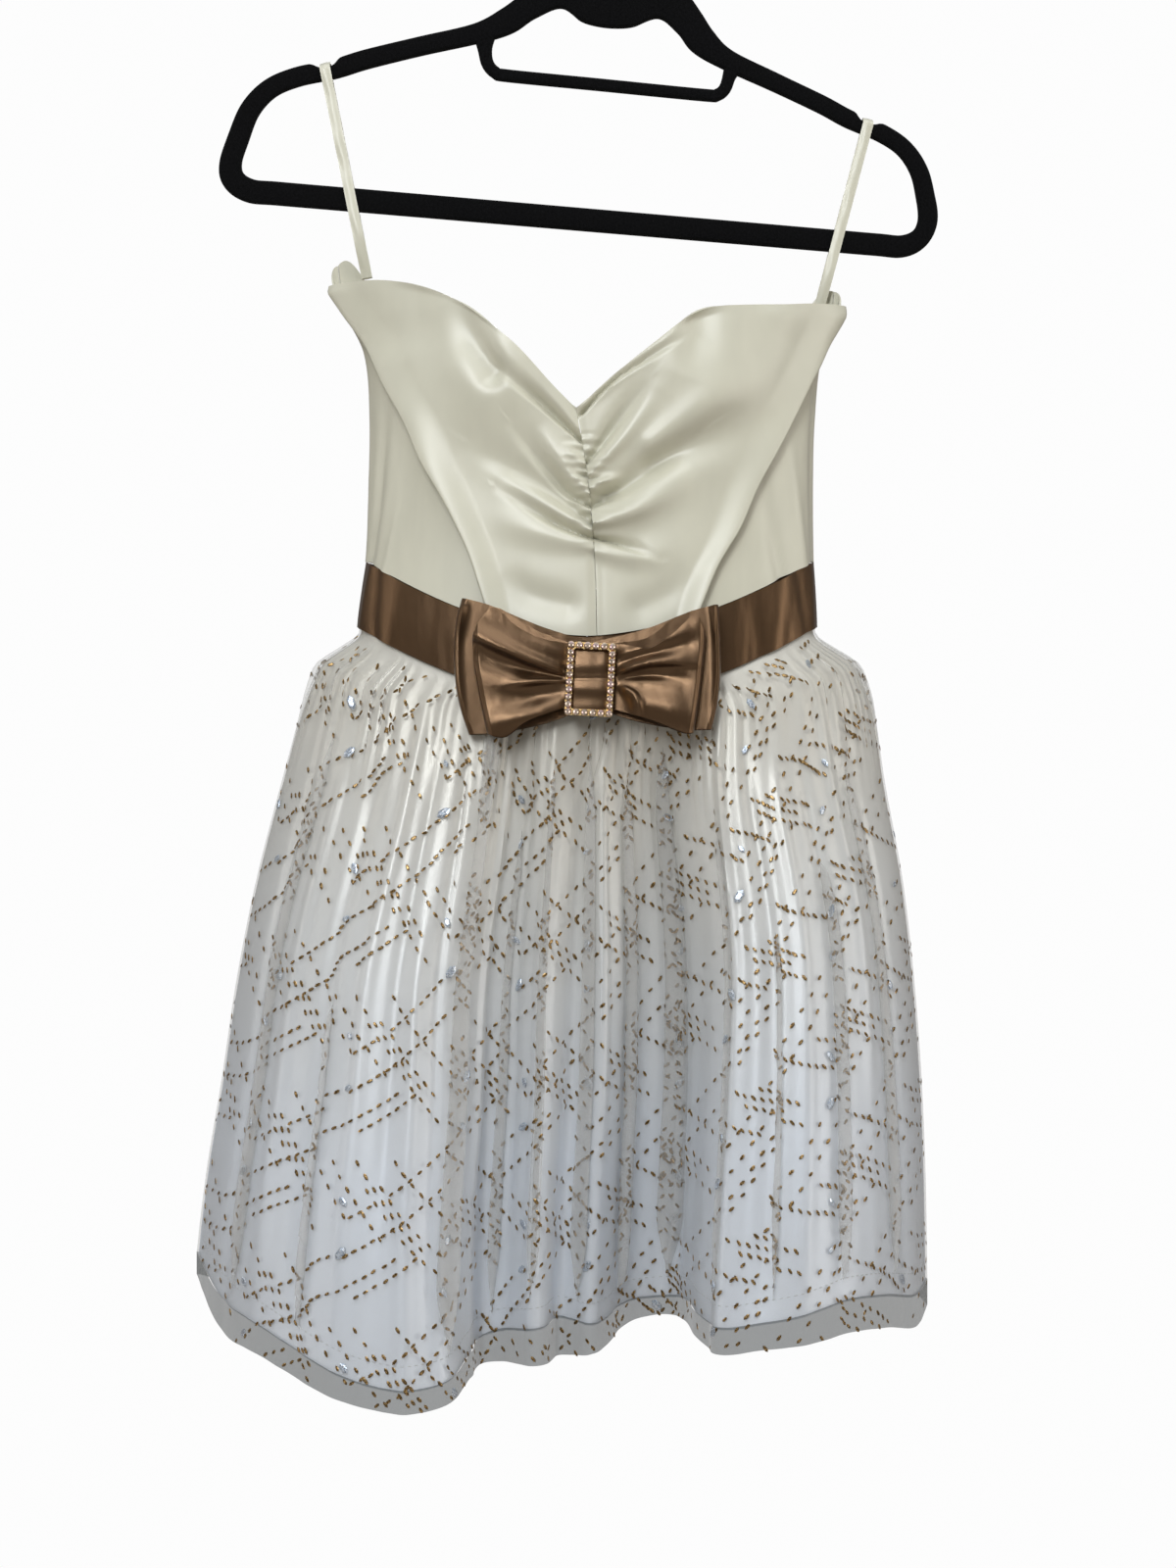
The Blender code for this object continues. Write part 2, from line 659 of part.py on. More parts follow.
def build_panel(name, bottom, top, start, end, columns, rows):
    outer, inner = [], []
    for i in range(rows):
        up = i / (rows - 1)
        places = [patch(bottom, top, start, end, j / (columns - 1), up) for j in range(columns)]
        outer.append([body_point(angle, z) for angle, z in places])
        inner.append([body_point(angle, z, -CLOTH) for angle, z in places])
    wall(name, "ivory satin", outer, inner)


def make_back(name, side):
    """A back panel from the side seam to the zip."""
    first = side * (SIDE_SEAM_ANGLE + SIDE_SEAM_TURN)
    last = side * (math.pi - ZIP_TURN)

    def top(share):
        angle = blend(first, last, share)
        return angle, back_top(angle)

    def start(share):
        return first, blend(band_top(first) + SEAM_GAP, back_top(first), share)

    def end(share):
        return last, blend(band_top(last) + SEAM_GAP, back_top(last), share)

    build_panel(name, along_band(first, last), top, start, end, 15, 7)


def make_waistband():
    """The waist ribbon, open at the zip."""
    columns = 49
    outer, inner = [], []
    for share in (0.0, 0.5, 1.0):
        outer_row, inner_row = [], []
        for j in range(columns):
            angle = blend(-math.pi + ZIP_TURN, math.pi - ZIP_TURN, j / (columns - 1))
            z = band_top(angle) - BAND_TALL * share
            inner_row.append(body_point(angle, z, BAND_LIFT - CLOTH))
            outer_row.append(body_point(angle, z, BAND_LIFT))
        outer.append(outer_row)
        inner.append(inner_row)
    wall("waistband", "bronze satin", outer, inner)


# ---------------------------------------------------------------- hanger loops

def make_loops():
    """Each loop is one ribbon: up in front of the hanger, over its notch and down behind."""
    for name, side, foot_x, foot_y, foot_z, behind_y in LOOPS:
        seat = notch_seat(side)
        turn = HANGER_THICK / 2 + LOOP_SLACK + LOOP_THICK / 2
        foot = Vector((foot_x, foot_y, foot_z)) * MM
        path = [foot]
        knee = seat.lerp(foot, LOOP_KNEE)
        path.append(Vector((knee.x, -turn, knee.z)))
        for share in LOOP_SHARES:
            place = seat.lerp(foot, share)
            path.append(Vector((place.x, -turn, place.z)))
        for i in range(9):
            angle = math.pi * i / 8
            path.append(Vector((seat.x, -turn * math.cos(angle), seat.z + turn * math.sin(angle))))
        for share in reversed(LOOP_SHARES):
            place = seat.lerp(foot, share)
            path.append(Vector((place.x, turn, place.z)))
        back_foot = Vector((foot_x, behind_y, foot_z)) * MM
        path.append(Vector((knee.x, blend(turn, back_foot.y, 0.3), knee.z)))
        path.append(back_foot)
        ribbon(name, path, (seat - foot).normalized())


def notch_seat(side):
    """The bottom of a notch: the arm's upper edge there, less the cut."""
    upper = (s for s in hanger_stations() if s[1] > ARM_ABOVE_BAR and s[0] * side > 0)
    nearest = min(upper, key=lambda s: notch_distance(s[0]))
    across, up, half, outward = nearest
    place = Vector((across, up)) + outward * (half - NOTCH_DEPTH + SEAT_RISE)
    return on_hanger(place.x, 0, place.y) - Vector((0, 0, HANGER_THICK / 2))


def ribbon(name, path, lengthwise):
    """A flat ribbon along a path in depth, its width square to its length."""
    width = Vector((lengthwise.z, 0, -lengthwise.x)) * (LOOP_WIDTH / 2)
    outer, inner = [], []
    for i, place in enumerate(path):
        before, after = path[max(i - 1, 0)], path[min(i + 1, len(path) - 1)]
        normal = width.cross(after - before).normalized() * (LOOP_THICK / 2)
        outer.append([place - width + normal, place + width + normal])
        inner.append([place - width - normal, place + width - normal])
    wall(name, "ivory satin", outer, inner)


# ---------------------------------------------------------------- skirt

SKIRT_M = millimetres(SKIRT)


def waist_angle(share, front):
    """Angle round the waist for a share of the front or back, from its first side seam."""
    begin = -math.pi / 2 if front else math.pi / 2
    return begin + math.pi * share


def skirt_columns(front, count):
    """Waist angle and hem row for evenly spaced columns of the front or the back."""
    hem = Line(millimetres(HEM_FRONT if front else HEM_BACK))
    width = HEM_RIGHT - HEM_LEFT
    columns = []
    edge = 0.5 * SEAM_GAP / hem.length
    for j in range(count + 1):
        share = blend(edge, 1 - edge, j / count)
        x, y, z, shorter = hem.at(share)
        x_share = (x - HEM_LEFT if front else HEM_RIGHT - x) / width
        by_x = math.acos(1 - 2 * min(1.0, max(0.0, x_share))) / math.pi
        waist_share = blend(share, by_x, WAIST_BY_X)
        waist_share = min(1 - SIDE_CLEAR, max(SIDE_CLEAR, waist_share))
        columns.append((waist_angle(waist_share, front), x, y, z, shorter))
    return columns


def skirt_ring(columns, ring, lift):
    """Places of the satin along one ring, a share of the way from the waist ribbon to its hem."""
    half_hem = (HEM_RIGHT - HEM_LEFT) / 2
    middle_hem = (HEM_RIGHT + HEM_LEFT) / 2
    places = []
    for angle, x, y, z, shorter in columns:
        start = body_point(angle, band_top(angle) - BAND_TALL - SKIRT_DROP, lift)
        height = blend(start.z, z + shorter, ring)
        left, right = read_table(SKIRT_M, height)
        waist_x = math.sin(angle)
        hem_x = (x - middle_hem) / half_hem
        spread = ring ** SKIRT_GROWTH
        across = blend(waist_x, hem_x, spread)
        flat_x = (left + right) / 2 + across * (right - left) / 2
        flare = smooth_step(0.0, FLARE_BY, ring)
        place_x = blend(start.x, flat_x, flare)
        place_y = blend(start.y, y, spread)
        places.append(Vector((place_x, place_y, height)))
    return places


def outward(places):
    """Level directions square to a ring that runs from one side seam to the other."""
    found = []
    for i in range(len(places)):
        before, after = places[max(i - 1, 0)], places[min(i + 1, len(places) - 1)]
        found.append(Vector((after.y - before.y, before.x - after.x, 0)).normalized())
    for end in (0, -1):
        found[end] = Vector((math.copysign(1, found[end].x), 0, 0))
    return found


def make_skirt(front):
    """Satin lining and, over its own points, the gathered net."""
    side = "front" if front else "back"
    columns = skirt_columns(front, FRONT_PLEATS if front else BACK_PLEATS)
    satin_out, satin_in, net_out, net_in = [], [], [], []
    last = len(SKIRT_RINGS) - 1
    for i, ring in enumerate(SKIRT_RINGS):
        places = skirt_ring(columns, ring, -SKIRT_LIFT)
        square = outward(places)
        satin_out.append(places)
        satin_in.append([p - n * LINING_CLOTH for p, n in zip(places, square)])
        outer_row, inner_row = net_row(places, square, ring)
        net_out.append(outer_row)
        net_in.append(inner_row)
        if i == last:
            lower = [p - Vector((0, 0, row[4])) for p, row in zip(places, columns)]
            outer_row, inner_row = net_row(lower, square, ring)
            net_out.append(outer_row)
            net_in.append(inner_row)
    wall("skirt_lining_" + side, "white satin", satin_out, satin_in)
    wall("skirt_net_" + side, "white net", net_out, net_in)


def net_row(places, square, ring):
    """The net over one ring: each second column is a gather that stands out."""
    rise = blend(GATHER_AT_WAIST, GATHER_AT_HEM, smooth_step(0, 0.4, ring))
    rise = blend(GATHER_AT_SEAM, rise, smooth_step(0, SKIRT_RINGS[1], ring))
    outer, inner = [], []
    for i, (place, normal) in enumerate(zip(places, square)):
        foot = place + normal * NET_LIFT
        inner.append(foot)
        outer.append(foot + normal * NET_CLOTH)
        if i + 1 < len(places):
            middle = (place + places[i + 1]) / 2
            between = (normal + square[i + 1]).normalized()
            ridge = middle + between * (NET_LIFT + rise)
            inner.append(ridge)
            outer.append(ridge + between * NET_CLOTH)
    return outer, inner


# ---------------------------------------------------------------- bow and buckle

def on_bow(across, depth, up):
    """World place of a point measured from the bow's middle, depth out from the band."""
    out = depth * math.cos(BOW_PITCH) - up * math.sin(BOW_PITCH)
    z = up * math.cos(BOW_PITCH) + depth * math.sin(BOW_PITCH)
    return Vector((BOW_X + across, BAND_FACE_Y - out, BOW_Z + z))


def loop_strip(name, side, shape, leaning, rear, tip):
    """A flat ribbon loop seen from above as a hairpin: behind, round the tip and back in front."""
    rows, lean_rows = millimetres(shape), millimetres(leaning)
    reach = rows[-1][0]
    start = rows[0][0]
    path = []
    inward = [blend(start, reach - tip, k / 6) for k in range(7)]
    half = BOW_LOOP_DEPTH / 2

    def swell(across):
        return half * math.sin(math.pi * (across - start) / (reach - start) * 0.5) ** 0.8

    for across in inward:
        path.append((across, rear + half - swell(across)))
    for k in range(1, 6):
        angle = math.pi * k / 6
        path.append((reach - tip + tip * math.sin(angle), rear + half - half * math.cos(angle)))
    for across in reversed(inward):
        path.append((across, rear + half + swell(across) + RIBBON * 0.6))
    outer, inner = [], []
    for i, (across, out) in enumerate(path):
        before, after = path[max(i - 1, 0)], path[min(i + 1, len(path) - 1)]
        normal = Vector((after[1] - before[1], before[0] - after[0])).normalized() * (RIBBON / 2)
        above, below = read_table(rows, across)
        leans = smooth_step(LEAN_FROM, 1.0, across / reach)
        outer_row, inner_row = [], []
        for k in range(7):
            up = blend(-below, above, k / 6)
            place = across + leans * read_table(lean_rows, up)[0]
            outer_row.append(on_bow(side * (place + normal.x), out + normal.y, up))
            inner_row.append(on_bow(side * (place - normal.x), out - normal.y, up))
        outer.append(outer_row)
        inner.append(inner_row)
    wall(name, "bronze satin", outer, inner)


def make_bow():
    """Two wide loops behind, two narrower ones in front, the knot ribbon and its buckle."""
    front_rear = BOW_REAR + BOW_LOOP_DEPTH + FRONT_BOW_GAP
    for name, side, shape, leaning, rear, tip in (
            ("bow_back_left", -1, BACK_BOW_LEFT, BACK_LEAN_LEFT, BOW_REAR, BACK_BOW_TIP),
            ("bow_back_right", 1, BACK_BOW_RIGHT, BACK_LEAN_RIGHT, BOW_REAR, BACK_BOW_TIP),
            ("bow_front_left", -1, FRONT_BOW_LEFT, FRONT_LEAN_LEFT, front_rear, FRONT_BOW_TIP),
            ("bow_front_right", 1, FRONT_BOW_RIGHT, FRONT_LEAN_RIGHT, front_rear, FRONT_BOW_TIP)):
        loop_strip(name, side, shape, leaning, rear, tip)
    knot_out = front_rear + BOW_LOOP_DEPTH / 2 + KNOT_GAP
    knot = box("bow_knot", "bronze satin", KNOT_SIZE, (0, 0, 0))
    place_on_bow(knot, knot_out, 0.0)
    make_buckle(knot_out + KNOT_SIZE[1] / 2 + SEAM_GAP + BUCKLE_THICK / 2)


def place_on_bow(made, out, lean):
    middle = on_bow(KNOT_ASIDE, out, 0)
    turn = Matrix.Rotation(-BOW_PITCH, 4, "X") @ Matrix.Rotation(-lean, 4, "Y")
    made.data.transform(Matrix.Translation(middle) @ turn)


def make_buckle(out):
    """A rectangular frame with rounded corners; its stones are set on this face."""
    shape = bmesh.new()
    loops = []
    for grow, depth in ((0.0, 1), (0.0, -1), (-BUCKLE_BAR, -1), (-BUCKLE_BAR, 1)):
        ring = []
        radius = BUCKLE_CORNERS[0] if grow == 0 else BUCKLE_CORNERS[1]
        for corner_x, corner_z, first in ((1, 1, 0), (-1, 1, 90), (-1, -1, 180), (1, -1, 270)):
            for k in range(4):
                angle = math.radians(first + 30 * k)
                x = corner_x * (BUCKLE_WIDE / 2 + grow - radius) + radius * math.cos(angle)
                z = corner_z * (BUCKLE_TALL / 2 + grow - radius) + radius * math.sin(angle)
                ring.append(shape.verts.new((x, depth * BUCKLE_THICK / 2, z)))
        loops.append(ring)
    for first, second in zip(loops, loops[1:] + loops[:1]):
        for i in range(len(first)):
            k = (i + 1) % len(first)
            shape.faces.new((first[i], first[k], second[k], second[i]))
    bmesh.ops.recalc_face_normals(shape, faces=shape.faces)
    mesh = bpy.data.meshes.new("buckle_frame")
    shape.to_mesh(mesh)
    shape.free()
    made = add_object("buckle_frame", mesh, "gold metal")
    place_on_bow(made, out, BUCKLE_LEAN)


# ---------------------------------------------------------------- zip

def make_zip():
    """Slider at the top of the back and its pull, which turns on the slider's pin."""
    skin = body_point(math.pi, ZIP_Z)
    face = skin.y + SEAM_GAP
    slider_y = face + SLIDER_THICK / 2
    pin_y = face + SLIDER_THICK + PIN_OUT
    slider = box("zip_slider", "zip metal", (SLIDER_WIDE, SLIDER_THICK, SLIDER_TALL),
                 (skin.x, slider_y, ZIP_Z))
    bridge = bridge_cutout(skin.x, face + SLIDER_THICK, pin_y)
    join = slider.modifiers.new("bridge", "BOOLEAN")
    join.operation = "UNION"
    join.object = bridge
    pull = make_pull(skin.x, pin_y)
    return slider, pull


def bridge_cutout(x, face_y, pin_y):
    """The slider's arch, a flat D with a hole that the pull's pin goes through."""
    shape = bmesh.new()
    outer_radius, hole_radius = 2.9 * MM, PIN_RADIUS + 0.35 * MM
    steps = 12
    rings = []
    for half in (-BRIDGE_WIDE / 2, BRIDGE_WIDE / 2):
        outer_ring, hole_ring = [], []
        for k in range(steps):
            angle = 2 * math.pi * k / steps
            y = pin_y + outer_radius * math.cos(angle)
            z = ZIP_Z + 1 * MM + outer_radius * math.sin(angle)
            if math.cos(angle) < -0.4:
                y = face_y - 1.0 * MM
            outer_ring.append(shape.verts.new((x + half, y, z)))
            hole_ring.append(shape.verts.new((
                x + half, pin_y + hole_radius * math.cos(angle),
                ZIP_Z + 1 * MM + hole_radius * math.sin(angle))))
        rings.append((outer_ring, hole_ring))
    for k in range(steps):
        n = (k + 1) % steps
        (low_out, low_hole), (high_out, high_hole) = rings
        shape.faces.new((low_out[k], low_out[n], low_hole[n], low_hole[k]))
        shape.faces.new((high_out[k], high_hole[k], high_hole[n], high_out[n]))
        shape.faces.new((low_out[k], high_out[k], high_out[n], low_out[n]))
        shape.faces.new((low_hole[k], low_hole[n], high_hole[n], high_hole[k]))
    bmesh.ops.recalc_face_normals(shape, faces=shape.faces)
    mesh = bpy.data.meshes.new("zip_bridge")
    shape.to_mesh(mesh)
    shape.free()
    made = add_object("zip_bridge", mesh, "zip metal")
    made.hide_render = True
    made.display_type = "WIRE"
    return made


def make_pull(x, pin_y):
    """A flat drop-shaped pull with a window at its top, crossed by the pin on the joint's axis."""
    hang = ZIP_Z + 1 * MM
    half, thick = TAB_WIDE / 2, TAB_THICK / 2
    window_half, window_low = 1.5 * MM, -4.2 * MM
    pull = bmesh.new()
    plan = ((-half, PIN_RADIUS), (-half, window_low), (-half * 1.05, -TAB_LONG * 0.6),
            (-half * 0.8, -TAB_LONG * 0.9), (-half * 0.3, -TAB_LONG),
            (half * 0.3, -TAB_LONG), (half * 0.8, -TAB_LONG * 0.9),
            (half * 1.05, -TAB_LONG * 0.6), (half, window_low), (half, PIN_RADIUS),
            (window_half, PIN_RADIUS), (window_half, window_low),
            (-window_half, window_low), (-window_half, PIN_RADIUS))
    faces = ((0, 1, 12, 13), (1, 2, 12), (8, 9, 10, 11), (7, 8, 11), (2, 7, 11, 12), (2, 3, 6, 7),
             (3, 4, 5, 6))
    layers = []
    for depth in (-thick, thick):
        layers.append([pull.verts.new((a, depth, u)) for a, u in plan])
    for face in faces:
        pull.faces.new([layers[0][i] for i in face])
        pull.faces.new([layers[1][i] for i in reversed(face)])
    for i in range(len(plan)):
        k = (i + 1) % len(plan)
        pull.faces.new((layers[0][i], layers[0][k], layers[1][k], layers[1][i]))
    bmesh.ops.recalc_face_normals(pull, faces=pull.faces)
    mesh = bpy.data.meshes.new("zip_pull")
    pull.to_mesh(mesh)
    pull.free()
    made = add_object("zip_pull", mesh, "zip metal")
    made.location = (x, pin_y, hang)
    pin = bpy.data.meshes.new("zip_pin")
    rod = bmesh.new()
    bmesh.ops.create_cone(rod, cap_ends=True, segments=10, radius1=PIN_RADIUS, radius2=PIN_RADIUS,
                          depth=TAB_WIDE - 0.6 * MM)
    bmesh.ops.rotate(rod, verts=rod.verts, matrix=Matrix.Rotation(math.pi / 2, 3, "Y"))
    rod.to_mesh(pin)
    rod.free()
    pin_object = add_object("zip_pin", pin, "zip metal")
    pin_object.location = made.location
    pin_object.hide_render = True
    pin_object.display_type = "WIRE"
    join = made.modifiers.new("pin", "BOOLEAN")
    join.operation = "UNION"
    join.object = pin_object
    return made


def main():
    for old in list(bpy.data.objects):
        bpy.data.objects.remove(old)
    join_tie_bar(make_hanger_frame())
    make_hook()
    make_loops()
    make_cup("bodice_cup_left", -1, TOP_EDGE_LEFT, FOLD_EDGE_LEFT, DRAPES_LEFT)
    make_cup("bodice_cup_right", 1, TOP_EDGE_RIGHT, FOLD_EDGE_RIGHT, DRAPES_RIGHT)
    make_side("bodice_side_left", -1, FOLD_EDGE_LEFT)
    make_side("bodice_side_right", 1, FOLD_EDGE_RIGHT)
    make_back("bodice_back_left", -1)
    make_back("bodice_back_right", 1)
    make_waistband()
    make_skirt(front=True)
    make_skirt(front=False)
    make_bow()
    make_zip()


main()
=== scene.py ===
"""Looks of a strapless fit and flare dress on its hanger: satin, net, glitter, bow and stones.

Metres, +Z up, the front faces -Y and +X is the viewer's right.  Tables are in millimetres and
repeat the driving sizes of the solids, so each shell lies on the solid that it stands for.
"""
import math

import bmesh
import bpy
import numpy as np
from bpy.props import FloatProperty, FloatVectorProperty, IntProperty, PointerProperty
from mathutils import Matrix, Vector


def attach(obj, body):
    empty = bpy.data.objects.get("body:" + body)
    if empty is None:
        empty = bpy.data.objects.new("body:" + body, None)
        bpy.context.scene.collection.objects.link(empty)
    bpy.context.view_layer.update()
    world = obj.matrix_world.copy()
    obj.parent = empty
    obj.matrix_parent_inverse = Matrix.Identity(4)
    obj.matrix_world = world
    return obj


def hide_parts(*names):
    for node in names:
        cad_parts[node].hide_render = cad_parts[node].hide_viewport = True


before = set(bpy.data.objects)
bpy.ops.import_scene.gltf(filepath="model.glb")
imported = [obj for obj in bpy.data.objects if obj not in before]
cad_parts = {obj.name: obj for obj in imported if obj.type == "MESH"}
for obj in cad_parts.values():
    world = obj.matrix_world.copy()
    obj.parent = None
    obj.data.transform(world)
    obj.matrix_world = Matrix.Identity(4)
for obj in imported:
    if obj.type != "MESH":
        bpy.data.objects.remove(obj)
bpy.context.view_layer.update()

bl_info = {
    "name": "Fit and Flare Dress",
    "version": (1, 0, 0),
    "blender": (4, 5, 0),
    "location": "View3D > Sidebar > Dress",
    "description": "Dresses the solids of a satin and net dress with cloth, glitter and stones",
    "category": "Object",
}

MM = 0.001
BODY = "dress"
BLACK = (0.0024, 0.0024, 0.0028)
LEVEL = np.array([1.0, 1.0, 0.0])
# a place inside the dress, and how near to the middle of its depth a side panel's own middle lies
INSIDE_X = -15.0 * MM
NEAR_SIDE = 10.0 * MM

# ---------------------------------------------------------------- sizes shared with the solids

# z, left and right outline, depth in front and behind
FIGURE = (
    (-245, -177, 143, 44, 15), (-270, -174, 140, 46, 18), (-285, -167, 138, 47, 20),
    (-310, -155, 127.5, 48, 23), (-350, -151, 123, 48, 25), (-393, -151, 121.5, 49, 26),
    (-430, -152.5, 121.5, 50, 27), (-454, -155.5, 122.5, 51, 28), (-480, -159, 124, 52, 29),
    (-535, -162, 126, 53, 31),
)
CUP_RISE = 14.0 * MM
CUP_ACROSS = 66.0 * MM
CUP_WIDTH = 40.0 * MM
CUP_HEIGHT_Z = -322.0 * MM
CUP_TALL = 46.0 * MM
CUP_LIFT = 1.7 * MM
CLOTH = 1.5 * MM
SEAM_GAP = 0.3 * MM
CORNER_ANGLE = math.radians(84)

BAND_SIDE_Z = -438.0 * MM
BAND_FRONT_DROP = 49.0 * MM
BAND_BACK_DROP = 14.0 * MM
BAND_POWER = 1.7
BAND_TALL = 40.0 * MM
BAND_LIFT = 0.6 * MM

SEAM_CENTRE = (
    (-11.7, -488), (-12.3, -458), (-14, -427), (-16.5, -397), (-20.5, -370), (-24, -351),
)
TOP_EDGE_LEFT = (
    (-24, -351), (-39, -336), (-57.5, -316), (-75, -301), (-92, -288), (-110, -278.5),
    (-131, -272), (-152, -269.5), (-174.3, -269.6),
)
TOP_EDGE_RIGHT = (
    (-24, -351), (-11, -340), (6, -325), (24, -311), (41, -298), (55.5, -291), (76, -288),
    (100, -285.7), (122, -283), (141, -281.5),
)
FOLD_EDGE_LEFT = (
    (-75, -472), (-85, -440), (-92, -422), (-103, -399), (-114.5, -378.5), (-126, -353),
    (-140, -329), (-153, -303), (-164.5, -286.5), (-174.3, -269.6),
)
FOLD_EDGE_RIGHT = (
    (48, -469), (60, -440), (74, -417), (85, -392), (99, -367), (115, -334), (123, -317),
    (131, -300), (141, -281.5),
)
SIDE_SEAM_ANGLE = math.radians(103)
SIDE_SEAM_TURN = math.radians(0.8)
SIDE_TUCK = math.radians(5)
SIDE_BELOW_CORNER = 2.0 * MM
ZIP_TURN = math.radians(0.12)
BACK_TOP_Z = -356.0 * MM
BACK_RISE = 92.0 * MM
BACK_POWER = 2.0
LEFT_PEAK_RISE = 26.0 * MM
RIGHT_PEAK_RISE = 16.0 * MM
RIGHT_SIDE_LOWER = 11.0 * MM
PEAK_ANGLE = math.radians(114)
PEAK_WIDTH = math.radians(14)

# z, left, right of the skirt's outline
SKIRT_OUTLINE = (
    (-430, -152.5, 121.5), (-478, -164.5, 128), (-490, -174.5, 141), (-502, -181.5, 148),
    (-526, -192, 158), (-575, -206.5, 166.5), (-635, -222, 177.5), (-696, -234, 184.5),
    (-756, -243, 189), (-817, -253, 191.5), (-877, -259.5, 192.5), (-940, -262, 193),
)
# x, y, z of the net's hem and how much shorter the satin is, crest to trough, from the left
HEM_FRONT = (
    (-259.5, 0, -877, 12), (-236, -44, -902, 18), (-208, -82, -907, 16), (-170, -113, -920, 14),
    (-138, -125, -928, 12), (-112, -124, -930, 12), (-94, -112, -927, 12), (-85, -86, -920, 13),
    (-80, -60, -918, 15), (-67, -62, -916, 18), (-51, -80, -914, 20), (-41, -76, -914, 21),
    (-35, -56, -914, 22), (-26, -58, -913, 20), (-16, -66, -911, 17), (-6, -56, -908, 15),
    (8, -30, -900, 12), (28, -22, -897, 10), (41, -42, -896, 12), (47, -75, -899, 13),
    (60, -106, -901, 14), (79, -116, -897, 14), (98, -115, -895, 15), (117, -108, -893, 17),
    (137, -94, -891, 18), (159, -70, -894, 18), (180, -38, -901, 18), (192.5, 0, -896, 14),
)
HEM_BACK = (
    (192.5, 0, -896, 14), (184, 34, -893, 14), (158, 66, -892, 15), (124, 76, -894, 16),
    (94, 62, -893, 16), (76, 36, -891, 15), (50, 44, -893, 15), (20, 76, -897, 16),
    (-18, 82, -899, 16), (-48, 60, -897, 15), (-64, 34, -895, 15), (-90, 44, -897, 15),
    (-122, 76, -901, 16), (-164, 86, -903, 16), (-208, 64, -899, 15), (-244, 32, -888, 13),
    (-259.5, 0, -877, 12),
)
HEM_LEFT = -259.5 * MM
HEM_RIGHT = 192.5 * MM
SKIRT_GROWTH = 0.82
FLARE_BY = 0.06
WAIST_BY_X = 0.5
SIDE_CLEAR = 0.0016
SKIRT_LIFT = 1.8 * MM
# the middle of the skirt hangs straighter from the waist than its sides
UPRIGHT = 0.75
WAIST_HALF = 141.5 * MM
SKIRT_DROP = 0.7 * MM

BOW_X = -14.5 * MM
BOW_Z = -515.0 * MM
BOW_PITCH = math.radians(4)
RIBBON = 1.1 * MM
BAND_FACE_Y = -56.0 * MM
# distance out from the bow's middle, height above and below it
BACK_BOW_LEFT = ((1, 24, 15), (30, 33, 25), (60, 45, 30), (80, 50, 31))
BACK_BOW_RIGHT = ((1, 24, 15), (30, 31, 24), (60, 42, 28), (77, 46, 28))
FRONT_BOW_LEFT = ((13, 21, 15), (38, 30.5, 24), (57, 43, 33), (66, 34, 33), (70, 25, 31))
FRONT_BOW_RIGHT = ((13, 22, 17), (30, 30, 22), (47, 36, 27), (62, 40, 31), (67, 28, 31))
BOW_REAR = 1.4 * MM
BOW_LOOP_DEPTH = 6.0 * MM
FRONT_BOW_REAR = 10.8 * MM
KNOT_OUT = 16.0 * MM
KNOT_SIZE = (23.0 * MM, 5.0 * MM, 38.0 * MM)
KNOT_ASIDE = -1.2 * MM
BUCKLE_OUT = 20.3 * MM
BUCKLE_WIDE = 28.0 * MM
BUCKLE_TALL = 43.0 * MM
BUCKLE_BAR = 3.8 * MM
BUCKLE_THICK = 3.0 * MM
BUCKLE_LEAN = math.radians(-3)
CUP_SUNK = 0.05 * MM
STONE_OUT = 0.55 * MM
# height from the middle, how much further out the loop's outer bend is there
BACK_LEAN_LEFT = ((-31, -7.5), (-14, -2.0), (2, 0.8), (22, 1.4), (38, 0.0), (50, -3.0))
BACK_LEAN_RIGHT = ((-28, -6.5), (-12, -3.0), (6, -1.2), (28, -1.6), (46, -2.4))
FRONT_LEAN_LEFT = ((-33, -9.0), (-11, -4.5), (8, -1.0), (21, 0.0), (43, 0.0))
FRONT_LEAN_RIGHT = ((-31, -7.8), (-14, -5.0), (2, -3.0), (24, -0.8), (40, -0.8))
LEAN_FROM = 0.45
# distance out, height of the top edge of a front loop's front layer and of its rear layer
FRONT_TOPS_LEFT = (
    (13, 19.5, 22), (28, 23.5, 28), (36, 27, 31.5), (46, 33, 38), (57.9, 43, 43.8), (66, 35, 36),
    (70, 25, 25),
)
FRONT_TOPS_RIGHT = (
    (13, 20, 22), (33.5, 18.8, 26), (47.4, 27, 36.8), (54, 33, 39.4), (62, 39, 41), (67, 27, 28),
)
